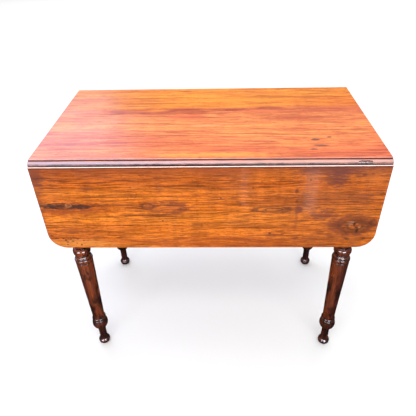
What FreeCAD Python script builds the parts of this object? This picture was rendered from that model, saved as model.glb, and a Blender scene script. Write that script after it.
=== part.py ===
import FreeCAD
import Part
import Sketcher
import math
import operator
import os
from types import SimpleNamespace

# A pembroke table: a fixed top with a drop leaf on each long side, hung on rule joints, on a frame of four
# turned legs with a drawer at the right end and swinging fly brackets behind the leaves.
# X runs along the table, the front leaf is on the -Y side, Z is up and the floor is at zero.

# Driving sizes, in millimetres and degrees
SIZES = {
    # top, leaves and rule joint
    "table_height": 735,
    "top_length": 870,
    "top_width": 462,
    "top_thickness": 18,
    "ovolo_radius": 10.5,
    "joint_clearance": 0.4,
    "leaf_width": 254,
    "leaf_corner_radius": 46,
    "chip_length": 33,
    "chip_height": 6,
    "chip_slope": 50,
    # iron hinges
    "hinge_end_distance": 65,
    "hinge_length": 36,
    "hinge_knuckle_radius": 4,
    "hinge_pin_radius": 1.5,
    "hinge_plate_thickness": 1.8,
    "hinge_plate_sink": 0.3,
    "hinge_top_plate_width": 28,
    "hinge_leaf_plate_width": 44,
    "hinge_knuckle_gap": 0.3,
    "hinge_notch_clearance": 0.5,
    "hinge_recess_clearance": 0.6,
    "pin_clearance": 0.05,
    "hinge_screw_length": 12,
    "hinge_screw_radius": 1.6,
    "hinge_screw_head_radius": 3.2,
    "hinge_screw_spread": 11,
    "hinge_top_screw_near": 11,
    "hinge_top_screw_far": 21,
    "hinge_leaf_screw_near": 18,
    "hinge_leaf_screw_far": 35,
    "screw_clearance": 0.1,
    # legs
    "leg_square": 54,
    "leg_edge_radius": 1.5,
    "leg_end_overhang": 32,
    "leg_leaf_gap": 5,
    "leg_head_length": 201,
    "pommel_height": 16,
    "pommel_bulge": 3,
    "foot_pad_radius": 10.5,
    "foot_height": 31,
    "foot_bulge": 6.2,
    "ankle_radius": 11.5,
    "ankle_height": 45,
    "ankle_hollow": 1,
    "ring_neck_radius": 13,
    "ring_height": 43,
    "ring_top_radius": 21,
    "ring_bulge": 8,
    "ring_bead_height": 9,
    "ring_bead_radius": 19.6,
    "ring_bead_bulge": 2.2,
    "column_cove_height": 5,
    "column_foot_radius": 18.4,
    "column_top_radius": 25.2,
    "line_height": 2,
    "line_depth": 1.1,
    "band_height": 11.5,
    "band_radius": 24.6,
    "band_bulge": 1.5,
    "shoulder_height": 8,
    "shoulder_radius": 22.4,
    "shoulder_bulge": 1.4,
    "neck_radius": 20,
    "neck_height": 4,
    "neck_hollow": 1,
    "ball_height": 27,
    "ball_bulge": 5.2,
    "fillet_radius": 18.8,
    "fillet_height": 4,
    "vase_height": 66,
    "vase_top_radius": 24.5,
    "vase_hollow": 3,
    "collar_height": 16,
    "collar_bulge": 2.5,
    # rails and their joints
    "frieze_depth": 140,
    "rail_thickness": 20,
    "rail_setback": 2,
    "tenon_thickness": 10,
    "tenon_length": 20,
    "tenon_haunch": 12,
    "tenon_end_gap": 1,
    "drawer_rail_width": 60,
    "drawer_rail_top_thickness": 18,
    "drawer_rail_bottom_thickness": 20,
    "drawer_rail_tenon_thickness": 10,
    "rail_dovetail_width": 16,
    "rail_dovetail_flare": 3,
    "rail_dovetail_depth": 12,
    # fly rails and brackets
    "fly_thickness": 20,
    "fly_setback": 8,
    "fly_block_length": 250,
    "fly_clearance": 0.6,
    "fly_knuckle_gap": 0.4,
    "fly_pin_radius": 3,
    "bracket_end_gap": 4,
    "bracket_tip_depth": 50,
    "bracket_curve_start": 26,
    "bracket_curve_run": 52,
    "bracket_curve_bulge": 13,
    "fly_screw_spread": 70,
    "fly_screw_length": 34,
    "fly_screw_radius": 2.2,
    "fly_screw_head_radius": 4.4,
    "fly_screw_head_height": 3,
    "fly_screw_low": 55,
    "fly_screw_high": 100,
    # drawer
    "drawer_length": 500,
    "drawer_front_thickness": 20,
    "drawer_front_lap": 6,
    "drawer_side_thickness": 10,
    "drawer_back_thickness": 10,
    "drawer_back_drop": 4,
    "drawer_side_gap": 1,
    "drawer_top_gap": 1,
    "drawer_running_gap": 0.2,
    "drawer_bottom_thickness": 7,
    "drawer_bottom_rise": 8,
    "drawer_groove_depth": 5,
    "tail_width": 18,
    "tail_flare": 3,
    "knob_spread": 92,
    "knob_spigot_radius": 6,
    "knob_base_radius": 10,
    "knob_neck_radius": 8,
    "knob_neck_height": 9,
    "knob_head_radius": 14,
    "knob_head_height": 17,
    "knob_head_bulge": 4.2,
    "knob_crown": 2.5,
    "runner_width": 28,
    "runner_back_overrun": 45,
    "guide_clearance": 0.5,
    "guide_height": 15,
    "stop_length": 20,
    "stop_width": 30,
    "stop_height": 5,
    "stop_distance": 60,
    "stop_gap": 0.2,
    # blocks and screws under the top
    "glue_block_length": 60,
    "glue_block_square": 20,
    "glue_block_end_distance": 60,
    "glue_block_rail_distance": 90,
    "kicker_block_gap": 87,
    "top_screw_length": 29,
    "top_screw_radius": 2.2,
    "top_screw_head_radius": 4.4,
    "top_screw_head_height": 3,
    "top_screw_end_distance": 45,
}

FRONT, REAR = -1, 1
LEFT, RIGHT = -1, 1
SIDES = {FRONT: "front", REAR: "rear"}
ENDS = {LEFT: "left", RIGHT: "right"}
KNUCKLES = 5
FIXED_KNUCKLES = range(0, KNUCKLES, 2)
MOVING_KNUCKLES = range(1, KNUCKLES, 2)
TAILS = 3
BACK_TAILS = 2

# The break in the top's moulding, in shares of its length and height
CHIP_OUTLINE = (
    (-0.5, -0.1), (-0.3, -0.45), (0.1, -0.5), (0.42, -0.35), (0.5, 0.2), (0.25, 0.5), (-0.2, 0.4),
)


class Size:
    """A length that carries its number and the spreadsheet formula that gives it."""

    def __init__(self, number, formula):
        self.number = number
        self.formula = formula

    def join(self, sign, other):
        work = {"+": operator.add, "-": operator.sub, "*": operator.mul, "/": operator.truediv}[sign]
        other = as_size(other)
        return Size(work(self.number, other.number), f"({self.formula} {sign} {other.formula})")

    def __add__(self, other):
        return self.join("+", other)

    def __sub__(self, other):
        return self.join("-", other)

    def __mul__(self, other):
        return self.join("*", other)

    def __truediv__(self, other):
        return self.join("/", other)

    def __rmul__(self, other):
        return as_size(other).join("*", self)

    def __neg__(self):
        return as_size(-1).join("*", self)


def as_size(value):
    return value if isinstance(value, Size) else Size(value, f"({value})")


def root(value):
    return Size(math.sqrt(value.number), f"sqrt({value.formula})")


def lesser(first, second):
    return Size(min(first.number, second.number), f"min({first.formula}; {second.formula})")


doc = FreeCAD.newDocument("pembroke_table")
sheet = doc.addObject("Spreadsheet::Sheet", "Sizes")
for row, (name, value) in enumerate(SIZES.items(), start=1):
    sheet.set(f"A{row}", name.replace("_", " "))
    sheet.set(f"B{row}", str(value))
    sheet.setAlias(f"B{row}", name)
doc.recompute()
p = SimpleNamespace(**{name: Size(value, f"Sizes.{name}") for name, value in SIZES.items()})
nodes = []


def node(thing, label):
    thing.Label = label
    nodes.append(thing)
    return thing


def bind(thing, prop, value):
    thing.setExpression(prop, as_size(value).formula)


def put(thing, x, y, z):
    for axis, value in zip("xyz", (x, y, z)):
        bind(thing, f"Placement.Base.{axis}", value)
    return thing


def turn(thing, axis, angle):
    thing.Placement.Rotation = FreeCAD.Rotation(FreeCAD.Vector(*axis), angle)
    return thing


def span(side, near, far):
    """The stretch between two distances from the middle plane, on one side of it."""
    return (near, far) if side > 0 else (-far, -near)


def box(name, x, y, z):
    block = doc.addObject("Part::Box", name)
    for prop, (low, high) in zip(("Length", "Width", "Height"), (x, y, z)):
        bind(block, prop, high - low)
    return put(block, x[0], y[0], z[0])


def rod(name, axis, radius, low, high, across, along):
    """A round bar along X or Z from low to high; across and along are its other two coordinates."""
    bar = doc.addObject("Part::Cylinder", name)
    bind(bar, "Radius", radius)
    bind(bar, "Height", high - low)
    if axis == "z":
        return put(bar, across, along, low)
    return put(turn(bar, (0, 1, 0), 90), low, across, along)


def join(name, pieces):
    joined = doc.addObject("Part::MultiFuse", name)
    joined.Shapes = pieces
    joined.Refine = True
    return joined


def carve(name, blank, tools):
    cut = doc.addObject("Part::Cut", name)
    cut.Base = blank
    cut.Tool = tools[0] if len(tools) == 1 else join(f"{name}_cutters", tools)
    cut.Refine = True
    return cut


def group(name, pieces):
    bundle = doc.addObject("Part::Compound", name)
    bundle.Links = pieces
    return bundle


def aimed(thing, direction, x, y, z):
    """Point a part that stands on its base along +Z, or towards the front or the rear."""
    angle = {"up": 0, FRONT: 90, REAR: -90}[direction]
    return put(turn(thing, (1, 0, 0), angle), x, y, z)


def cone(name, direction, place, wide, narrow, height):
    head = doc.addObject("Part::Cone", name)
    bind(head, "Radius1", wide)
    bind(head, "Radius2", narrow)
    bind(head, "Height", height)
    return aimed(head, direction, *place)


def shank(name, direction, place, radius, length):
    bar = doc.addObject("Part::Cylinder", name)
    bind(bar, "Radius", radius)
    bind(bar, "Height", length)
    return aimed(bar, direction, *place)


def wood_screw(name, direction, place, kind):
    """A countersunk screw and the cutters that make room for its head and its shank."""
    head = cone(f"{name}_head", direction, place, kind.head_radius, kind.radius, kind.head_height)
    stem = shank(f"{name}_stem", direction, place, kind.radius, kind.length)
    wide = kind.head_radius + p.screw_clearance
    narrow = kind.radius + p.screw_clearance
    sink = cone(f"{name}_sink", direction, place, wide, narrow, kind.head_height)
    hole = shank(f"{name}_hole", direction, place, narrow, kind.length + p.screw_clearance)
    return SimpleNamespace(piece=join(name, [head, stem]), sink=sink, hole=hole)


def plane_of(body, role):
    return next(feature for feature in body.Origin.OriginFeatures if feature.Role == role)


def pinned(geometry, end, x, y):
    """Constraints that hold one end of a line at its coordinates, a zero on the sketch's own axis."""
    held = []
    for kind, value, axis in (("DistanceX", x, -2), ("DistanceY", y, -1)):
        if value.number == 0:
            held.append((Sketcher.Constraint("PointOnObject", geometry, end, axis), None))
        else:
            held.append((Sketcher.Constraint(kind, -1, 1, geometry, end, value.number), value))
    return held


def outline(body, role, stations):
    """Draw a closed outline on an origin plane of the body.

    A station is (across, up) or (across, up, bulge). A bulge bows the stretch that leads to its station
    into an arc, to the right of the way drawn, or to the left where it is negative.
    """
    sketch = body.newObject("Sketcher::SketchObject", f"{body.Name}_outline")
    sketch.AttachmentSupport = [(plane_of(body, role), "")]
    sketch.MapMode = "FlatFace"
    stations = [[as_size(value) for value in station] for station in stations]
    ends = []
    held = []
    for index, station in enumerate(stations):
        before = stations[index - 1]
        start = FreeCAD.Vector(before[0].number, before[1].number)
        stop = FreeCAD.Vector(station[0].number, station[1].number)
        if len(station) == 2:
            ends.append((sketch.addGeometry(Part.LineSegment(start, stop)), 1, 2))
            continue
        bulge = station[2]
        run = stop - start
        bow = FreeCAD.Vector(run.y, -run.x).normalize() * bulge.number
        forward = bulge.number > 0
        first, last = (start, stop) if forward else (stop, start)
        arc = sketch.addGeometry(Part.Arc(first, (start + stop) / 2 + bow, last))
        ends.append((arc, 1, 2) if forward else (arc, 2, 1))
        chord = [station[axis] - before[axis] for axis in (0, 1)]
        depth = bulge if bulge.number > 0 else -bulge
        radius = ((chord[0] * chord[0] + chord[1] * chord[1]) / 4 + depth * depth) / (2 * depth)
        held.append((Sketcher.Constraint("Radius", arc, radius.number), radius))
    for (line, _, end), (following, begin, _) in zip(ends, ends[1:] + ends[:1]):
        held.append((Sketcher.Constraint("Coincident", line, end, following, begin), None))
    for (line, _, end), station in zip(ends, stations):
        held += pinned(line, end, station[0], station[1])
    sketch.addConstraint([constraint for constraint, _ in held])
    for index, (_, value) in enumerate(held):
        if value is not None:
            bind(sketch, f"Constraints[{index}]", value)
    return sketch


def arc_bulge(radius, across, up):
    """How far an arc of this radius bows from a chord with these two legs."""
    return radius - root(radius * radius - (across * across + up * up) / 4)


def extruded(name, role, stations, length, both_ways=False):
    body = doc.addObject("PartDesign::Body", name)
    pad = body.newObject("PartDesign::Pad", f"{name}_pad")
    pad.Profile = outline(body, role, stations)
    bind(pad, "Length", length)
    pad.SideType = "Symmetric" if both_ways else "One side"
    return body


def turned(body, stations):
    revolution = body.newObject("PartDesign::Revolution", f"{body.Name}_turning")
    sketch = outline(body, "XZ_Plane", stations)
    revolution.Profile = sketch
    revolution.ReferenceAxis = (sketch, ["V_Axis"])
    revolution.Angle = 360
    return revolution


# Heights and distances that several pieces share
underside = p.table_height - p.top_thickness
axis_y = p.top_width / 2
axis_z = underside + p.hinge_knuckle_radius
leaf_inner_y = axis_y - p.hinge_knuckle_radius
leaf_outer_y = leaf_inner_y + p.top_thickness
leaf_foot_z = axis_z - p.leaf_width
half_length = p.top_length / 2
leg_x = half_length - p.leg_end_overhang - p.leg_square / 2
leg_y = leaf_inner_y - p.leg_leaf_gap - p.leg_square / 2
leg_inner_x = leg_x - p.leg_square / 2
leg_inner_y = leg_y - p.leg_square / 2
frame_end_x = leg_x + p.leg_square / 2 - p.rail_setback
frieze_z = underside - p.frieze_depth
fly_outer_y = leg_y + p.leg_square / 2 - p.fly_setback
fly_mid_y = fly_outer_y - p.fly_thickness / 2
rail_outer_y = fly_outer_y - p.fly_thickness
rail_inner_y = rail_outer_y - p.rail_thickness
tenon_y = (rail_inner_y + rail_outer_y) / 2
hinge_places = {"left": p.hinge_end_distance - half_length, "middle": as_size(0)}
hinge_places["right"] = half_length - p.hinge_end_distance

# Hinges: a top plate and a leaf plate with alternate knuckles on one pin, plates let in flush
hinge_screw = SimpleNamespace(
    radius=p.hinge_screw_radius,
    head_radius=p.hinge_screw_head_radius,
    head_height=p.hinge_plate_thickness,
    length=p.hinge_screw_length,
)
plate_low = underside + p.hinge_plate_sink
plate_high = plate_low + p.hinge_plate_thickness
plate_inner = leaf_inner_y + p.hinge_plate_sink
plate_outer = plate_inner + p.hinge_plate_thickness
notch = p.hinge_knuckle_radius + p.hinge_notch_clearance
top_gains = []
leaf_gains = {FRONT: [], REAR: []}
screws = {"top": [], FRONT: [], REAR: []}


def hinge(side, place, x_mid):
    name = f"hinge_{SIDES[side]}_{place}"
    x_low = x_mid - p.hinge_length / 2
    x_high = x_mid + p.hinge_length / 2
    pitch = p.hinge_length / KNUCKLES
    gap = p.hinge_knuckle_gap / 2
    line = (side * axis_y, axis_z)

    def knuckle_run(index, room):
        return x_low + pitch * index - room, x_low + pitch * (index + 1) + room

    def plate(kind, blank, own, other, notch_y, notch_z, direction, places):
        pieces = [blank]
        cutters = []
        for index in other:
            cutters.append(box(f"{name}_{kind}_notch{index}", knuckle_run(index, gap), notch_y, notch_z))
        for index in own:
            run = knuckle_run(index, -gap)
            pieces.append(rod(f"{name}_{kind}_knuckle{index}", "x", p.hinge_knuckle_radius, *run, *line))
        bore = p.hinge_pin_radius + p.pin_clearance
        cutters.append(rod(f"{name}_{kind}_bore", "x", bore, x_low - gap, x_high + gap, *line))
        fitted = []
        for number, where in enumerate(places):
            fitted.append(wood_screw(f"{name}_{kind}_screw{number}", direction, where, hinge_screw))
        cutters += [screw.sink for screw in fitted]
        notched = carve(f"{name}_{kind}_strap", join(f"{name}_{kind}_blank", pieces), cutters)
        node(notched, f"{name}_{kind}")
        return fitted

    x_run = (x_low, x_high)
    plate_z = (plate_low, plate_high)
    flat = box(f"{name}_top_flat", x_run, span(side, axis_y - p.hinge_top_plate_width, axis_y), plate_z)
    near = side * (axis_y - p.hinge_top_screw_near)
    far = side * (axis_y - p.hinge_top_screw_far)
    spread = p.hinge_screw_spread
    places = [(x_mid - spread, near, plate_low), (x_mid + spread, near, plate_low), (x_mid, far, plate_low)]
    notch_y = span(side, axis_y - notch, axis_y)
    top_fitted = plate("top_plate", flat, FIXED_KNUCKLES, MOVING_KNUCKLES, notch_y, plate_z, "up", places)

    leaf_y = span(side, plate_inner, plate_outer)
    flat = box(f"{name}_leaf_flat", x_run, leaf_y, (axis_z - p.hinge_leaf_plate_width, axis_z))
    near = axis_z - p.hinge_leaf_screw_near
    far = axis_z - p.hinge_leaf_screw_far
    seat = side * plate_inner
    places = [(x_mid - spread, seat, near), (x_mid + spread, seat, near), (x_mid, seat, far)]
    notch_z = (axis_z - notch, axis_z)
    leaf_fitted = plate("leaf_plate", flat, MOVING_KNUCKLES, FIXED_KNUCKLES, leaf_y, notch_z, side, places)

    node(rod(f"{name}_rod", "x", p.hinge_pin_radius, x_low, x_high, *line), f"{name}_pin")

    # Room in the wood: the plate's bed, a round trough for the knuckles, a slot for the raised leaf plate
    room = p.hinge_recess_clearance
    wide = (x_low - room, x_high + room)
    trough = p.hinge_knuckle_radius + room
    bed_y = span(side, axis_y - p.hinge_top_plate_width - room, axis_y)
    trough_y = span(side, axis_y - trough, axis_y + trough)
    slot_y = span(side, axis_y, leaf_outer_y)
    top_gains.append(box(f"{name}_bed", wide, bed_y, (underside - room, plate_high)))
    top_gains.append(box(f"{name}_trough", wide, trough_y, (underside - room, axis_z)))
    top_gains.append(rod(f"{name}_trough_round", "x", trough, *wide, *line))
    top_gains.append(box(f"{name}_slot", wide, slot_y, (underside - room, plate_high + room)))
    top_gains.extend(screw.hole for screw in top_fitted)
    bed_y = span(side, leaf_inner_y - room, plate_outer)
    bed_z = (axis_z - p.hinge_leaf_plate_width - room, axis_z)
    leaf_gains[side].append(box(f"{name}_leaf_bed", wide, bed_y, bed_z))
    leaf_gains[side].extend(screw.hole for screw in leaf_fitted)
    screws["top"].extend(screw.piece for screw in top_fitted)
    screws[side].extend(screw.piece for screw in leaf_fitted)


for side in SIDES:
    for place, x_mid in hinge_places.items():
        hinge(side, place, x_mid)
node(group("top_hinge_screw_set", screws["top"]), "hinge_screws_top")
node(group("front_hinge_screw_set", screws[FRONT]), "hinge_screws_front_leaf")
node(group("rear_hinge_screw_set", screws[REAR]), "hinge_screws_rear_leaf")

# Top: one wide board with an ovolo along both long edges that runs on under the hinge line
ovolo_foot = root(p.ovolo_radius * p.ovolo_radius - p.hinge_knuckle_radius * p.hinge_knuckle_radius)
ovolo_bulge = arc_bulge(p.ovolo_radius, ovolo_foot, p.ovolo_radius + p.hinge_knuckle_radius)
ovolo_top_z = axis_z + p.ovolo_radius
top_blank = extruded("top_plank", "YZ_Plane", [
    (-(axis_y + ovolo_foot), underside, ovolo_bulge),
    (axis_y + ovolo_foot, underside),
    (axis_y, ovolo_top_z, ovolo_bulge),
    (axis_y, p.table_height),
    (-axis_y, p.table_height),
    (-axis_y, ovolo_top_z),
], p.top_length, both_ways=True)

# The short grain in front of the right front hinge has broken out and bares its knuckles
chip = extruded("ovolo_chip", "XY_Plane", [
    (p.chip_length * along, p.chip_height * up) for along, up in CHIP_OUTLINE
], p.ovolo_radius + p.hinge_knuckle_radius)
turn(chip, (1, 0, 0), p.chip_slope.number)
bind(chip, "Placement.Rotation.Angle", p.chip_slope)
put(chip, hinge_places["right"], -axis_y, axis_z)

# Drawer runners and kickers, wanted first because screws pass through the kickers into the top; a kicker
# starts past the glue block on its rail
drawer_back_x = frame_end_x - p.drawer_length
runner_back_x = drawer_back_x - p.runner_back_overrun
rail_back_x = frame_end_x - p.drawer_rail_width
opening_low = frieze_z + p.drawer_rail_bottom_thickness
opening_high = underside - p.drawer_rail_top_thickness
runner_front_x = lesser(rail_back_x, leg_inner_x)
inner_half = lesser(leg_inner_y, rail_inner_y)
drawer_half = inner_half - p.drawer_side_gap
guide_y = drawer_half + p.guide_clearance
block_end_x = p.rail_thickness - frame_end_x
rail_block_x = block_end_x + p.glue_block_rail_distance
kicker_back_x = rail_block_x + p.glue_block_length + p.kicker_block_gap
top_screw = SimpleNamespace(
    radius=p.top_screw_radius,
    head_radius=p.top_screw_head_radius,
    head_height=p.top_screw_head_height,
    length=p.top_screw_length,
)
top_screws = []
for side, word in SIDES.items():
    runner_x = (runner_back_x, runner_front_x)
    strip_y = span(side, rail_inner_y - p.runner_width, rail_inner_y)
    bearer = box(f"runner_bearer_{word}", runner_x, strip_y, (frieze_z, opening_low))
    guide_span = span(side, guide_y, rail_inner_y)
    guide = box(f"runner_guide_{word}", runner_x, guide_span, (opening_low, opening_low + p.guide_height))
    node(join(f"runner_{word}", [bearer, guide]), f"drawer_runner_{word}")
    kicker_x = (kicker_back_x, runner_front_x)
    kicker = box(f"kicker_strip_{word}", kicker_x, strip_y, (opening_high, underside))
    first = kicker_back_x + p.top_screw_end_distance
    last = runner_front_x - p.top_screw_end_distance
    fitted = []
    for number, x in enumerate((first, (first + last) / 2, last)):
        where = (x, side * (rail_inner_y - p.runner_width / 2), opening_high)
        fitted.append(wood_screw(f"top_screw_{word}{number}", "up", where, top_screw))
    holes = [cutter for screw in fitted for cutter in (screw.sink, screw.hole)]
    node(carve(f"kicker_{word}", kicker, holes), f"drawer_kicker_{word}")
    top_gains.extend(screw.hole for screw in fitted)
    top_screws.extend(screw.piece for screw in fitted)
node(group("top_screw_set", top_screws), "top_screws")
node(carve("top", top_blank, top_gains + [chip]), "top_board")

# Leaves: hanging boards whose upper edge is a cove about the hinge line, with rounded lower corners
cove_radius = p.ovolo_radius + p.joint_clearance
lip_z = axis_z - p.joint_clearance
lip_reach = root(cove_radius * cove_radius - p.joint_clearance * p.joint_clearance)
cove_bulge = arc_bulge(cove_radius, lip_reach, cove_radius - p.joint_clearance)
for side, word in SIDES.items():
    plank = extruded(f"{word}_leaf_plank", "YZ_Plane", [
        (side * leaf_inner_y, leaf_foot_z),
        (side * leaf_outer_y, leaf_foot_z),
        (side * leaf_outer_y, lip_z),
        (side * (axis_y + lip_reach), lip_z),
        (side * axis_y, axis_z - cove_radius, -side * cove_bulge),
        (side * leaf_inner_y, axis_z - cove_radius),
    ], p.top_length, both_ways=True)
    doc.recompute()
    pad = plank.Tip
    foot = [
        f"Edge{number}"
        for number, edge in enumerate(pad.Shape.Edges, start=1)
        if abs(edge.BoundBox.Center.z - leaf_foot_z.number) < 1 and edge.BoundBox.XLength < 1
    ]
    rounding = plank.newObject("PartDesign::Fillet", f"{word}_leaf_corners")
    rounding.Base = (pad, foot)
    bind(rounding, "Radius", p.leaf_corner_radius)
    node(carve(f"{word}_leaf_board", plank, leaf_gains[side]), f"{word}_leaf")

# Rails: tenons in the legs, the drawer's upper rail dovetailed into the leg tops
tenon_z = (frieze_z + p.tenon_haunch, underside - p.tenon_haunch)
tenon_end_x = leg_inner_x + p.tenon_length
tenon_end_y = leg_inner_y + p.tenon_length
mortise_end_x = tenon_end_x + p.tenon_end_gap
mortise_end_y = tenon_end_y + p.tenon_end_gap
long_tenon_y = (tenon_y - p.tenon_thickness / 2, tenon_y + p.tenon_thickness / 2)
end_rail_mid_x = frame_end_x - p.rail_thickness / 2
end_tenon_x = (-end_rail_mid_x - p.tenon_thickness / 2, -end_rail_mid_x + p.tenon_thickness / 2)
lower_tenon_x = (leg_x, frame_end_x - p.rail_setback)
lower_mid_z = frieze_z + p.drawer_rail_bottom_thickness / 2
lower_tenon_z = (
    lower_mid_z - p.drawer_rail_tenon_thickness / 2,
    lower_mid_z + p.drawer_rail_tenon_thickness / 2,
)
dovetail_x = (leg_x + frame_end_x) / 2


def wedge_limits(wedge, limits):
    for axis, (low, high) in limits.items():
        bind(wedge, f"{axis}min", low)
        bind(wedge, f"{axis}max", high)


def rail_dovetail(name, side, length):
    """A tail on the end of the drawer's upper rail, wider at its tip, let in from the leg's top."""
    tail = doc.addObject("Part::Wedge", name)
    root_half = p.rail_dovetail_width / 2
    tip_half = root_half + p.rail_dovetail_flare * length / p.tenon_length
    limits = {
        "X": (-root_half, root_half), "X2": (-tip_half, tip_half), "Y": (0, length),
        "Z": (0, p.rail_dovetail_depth), "Z2": (0, p.rail_dovetail_depth),
    }
    wedge_limits(tail, limits)
    turn(tail, (0, 0, 1), 0 if side == REAR else 180)
    return put(tail, dovetail_x, side * leg_inner_y, underside - p.rail_dovetail_depth)


fly_screw = SimpleNamespace(
    radius=p.fly_screw_radius,
    head_radius=p.fly_screw_head_radius,
    head_height=p.fly_screw_head_height,
    length=p.fly_screw_length,
)
fly_screws = {}
for side, word in SIDES.items():
    body_y = span(side, rail_inner_y, rail_outer_y)
    body = box(f"long_rail_{word}", (-leg_inner_x, leg_inner_x), body_y, (frieze_z, underside))
    tenon = box(f"long_tenon_{word}", (-tenon_end_x, tenon_end_x), span(side, *long_tenon_y), tenon_z)
    fitted = []
    for end in ENDS:
        for height in (p.fly_screw_low, p.fly_screw_high):
            where = (end * p.fly_screw_spread, side * rail_inner_y, frieze_z + height)
            fitted.append(wood_screw(f"fly_screw_{word}{len(fitted)}", side, where, fly_screw))
    fly_screws[side] = fitted
    holes = [cutter for screw in fitted for cutter in (screw.sink, screw.hole)]
    rail = carve(f"long_rail_drilled_{word}", join(f"long_rail_blank_{word}", [body, tenon]), holes)
    node(rail, f"inner_rail_{word}")
fly_screw_pieces = [screw.piece for fitted in fly_screws.values() for screw in fitted]
node(group("fly_screw_set", fly_screw_pieces), "fly_rail_screws")

end_x = (-frame_end_x, p.rail_thickness - frame_end_x)
end_body = box("end_panel", end_x, (-leg_inner_y, leg_inner_y), (frieze_z, underside))
end_tenon = box("end_tenon", end_tenon_x, (-tenon_end_y, tenon_end_y), tenon_z)
node(join("end_rail_board", [end_body, end_tenon]), "end_rail")



def drawer_rail(name, z):
    """A rail across the drawer end: full between the legs, and clear of the long rails behind them."""
    back = box(f"{name}_back", (rail_back_x, frame_end_x), (-inner_half, inner_half), z)
    face = box(f"{name}_face", (leg_x, frame_end_x), (-leg_inner_y, leg_inner_y), z)
    return [back, face]


lower_tenon = box("lower_tenon", lower_tenon_x, (-tenon_end_y, tenon_end_y), lower_tenon_z)
lower_rail = drawer_rail("lower_rail", (frieze_z, opening_low))
node(join("lower_rail_board", lower_rail + [lower_tenon]), "drawer_rail_bottom")
upper_tails = [rail_dovetail(f"upper_tail_{word}", side, p.tenon_length) for side, word in SIDES.items()]
upper_rail = drawer_rail("upper_rail", (opening_high, underside))
node(join("upper_rail_board", upper_rail + upper_tails), "drawer_rail_top")

# Legs: turned from a square, which is left as a head with rounded pommel corners over the turning
head_z = underside - p.leg_head_length
ring_z = p.foot_height + p.ankle_height
ring_bead_z = ring_z + p.ring_height
column_cove_z = ring_bead_z + p.ring_bead_height
column_z = column_cove_z + p.column_cove_height
collar_z = head_z - p.collar_height
vase_z = collar_z - p.vase_height
fillet_z = vase_z - p.fillet_height
ball_z = fillet_z - p.ball_height
neck_z = ball_z - p.neck_height
shoulder_z = neck_z - p.shoulder_height
band_z = shoulder_z - p.band_height
column_top_z = band_z - p.line_height
line_floor = p.column_top_radius - p.line_depth
leg_turning = [
    (0, 0),
    (p.foot_pad_radius, 0),
    (p.ankle_radius, p.foot_height, p.foot_bulge),
    (p.ring_neck_radius, ring_z, -p.ankle_hollow),
    (p.ring_top_radius, ring_bead_z, p.ring_bulge),
    (p.ring_bead_radius, ring_bead_z),
    (p.ring_bead_radius, column_cove_z, p.ring_bead_bulge),
    (p.column_foot_radius, column_z),
    (p.column_top_radius, column_top_z),
    (line_floor, column_top_z + p.line_height / 2),
    (p.band_radius, band_z),
    (p.band_radius, shoulder_z, p.band_bulge),
    (p.shoulder_radius, shoulder_z),
    (p.neck_radius, neck_z, p.shoulder_bulge),
    (p.neck_radius, ball_z, -p.neck_hollow),
    (p.neck_radius, fillet_z, p.ball_bulge),
    (p.fillet_radius, fillet_z),
    (p.fillet_radius, vase_z),
    (p.vase_top_radius, collar_z, -p.vase_hollow),
    (p.vase_top_radius, head_z, p.collar_bulge),
    (0, head_z),
]
head_half = p.leg_square / 2
flat_half = head_half - p.leg_edge_radius
edge_bulge = arc_bulge(p.leg_edge_radius, p.leg_edge_radius, p.leg_edge_radius)
head_outline = [
    (-flat_half, -head_half, edge_bulge),
    (flat_half, -head_half),
    (head_half, -flat_half, edge_bulge),
    (head_half, flat_half),
    (flat_half, head_half, edge_bulge),
    (-flat_half, head_half),
    (-head_half, flat_half, edge_bulge),
    (-head_half, -flat_half),
]
pommel_reach = head_half * math.sqrt(2)
pommel_waste = [
    (head_half, head_z),
    (pommel_reach, head_z + p.pommel_height, p.pommel_bulge),
    (pommel_reach + p.leg_edge_radius, head_z + p.pommel_height),
    (pommel_reach + p.leg_edge_radius, head_z),
]


def leg(end, side):
    name = f"leg_{SIDES[side]}_{ENDS[end]}"
    body = doc.addObject("PartDesign::Body", f"{name}_turned")
    head = body.newObject("PartDesign::Pad", f"{name}_head")
    head.Profile = outline(body, "XY_Plane", head_outline)
    bind(head.Profile[0], "AttachmentOffset.Base.z", head_z)
    bind(head, "Length", p.leg_head_length)
    pommel = body.newObject("PartDesign::Groove", f"{name}_pommel")
    pommel.Profile = outline(body, "XZ_Plane", pommel_waste)
    pommel.ReferenceAxis = (pommel.Profile[0], ["V_Axis"])
    pommel.Angle = 360
    turned(body, leg_turning)
    put(body, end * leg_x, side * leg_y, 0)
    deep_x = span(end, leg_inner_x, mortise_end_x)
    mortises = [box(f"{name}_long_mortise", deep_x, span(side, *long_tenon_y), tenon_z)]
    deep_y = span(side, leg_inner_y, mortise_end_y)
    if end == LEFT:
        mortises.append(box(f"{name}_end_mortise", end_tenon_x, deep_y, tenon_z))
    else:
        mortises.append(box(f"{name}_lower_mortise", lower_tenon_x, deep_y, lower_tenon_z))
        mortises.append(rail_dovetail(f"{name}_socket", side, p.tenon_length))
    node(carve(f"{name}_fitted", body, mortises), name)


for end in ENDS:
    for side in SIDES:
        leg(end, side)

# Fly rails: a fixed middle block on each long rail and a bracket at each of its ends, on a wooden knuckle
# joint whose shoulders are cut at 45 degrees so that the bracket can swing out square
pin_x = p.fly_block_length / 2
knuckle_radius = p.fly_thickness / 2
socket_radius = knuckle_radius + p.fly_knuckle_gap
shoulder = p.fly_knuckle_gap
fly_high = underside - p.fly_clearance
slice_height = (fly_high - frieze_z) / KNUCKLES
arm_length = leg_inner_x - p.bracket_end_gap - pin_x


def knuckles(name, x, y, indices, radius, room):
    """Round stretches of a knuckle joint, shortened by the room left at each of their ends."""
    rods = []
    for index in indices:
        low = frieze_z + slice_height * index + room
        high = frieze_z + slice_height * (index + 1) - room
        rods.append(rod(f"{name}{index}", "z", radius, low, high, x, y))
    return rods


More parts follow.
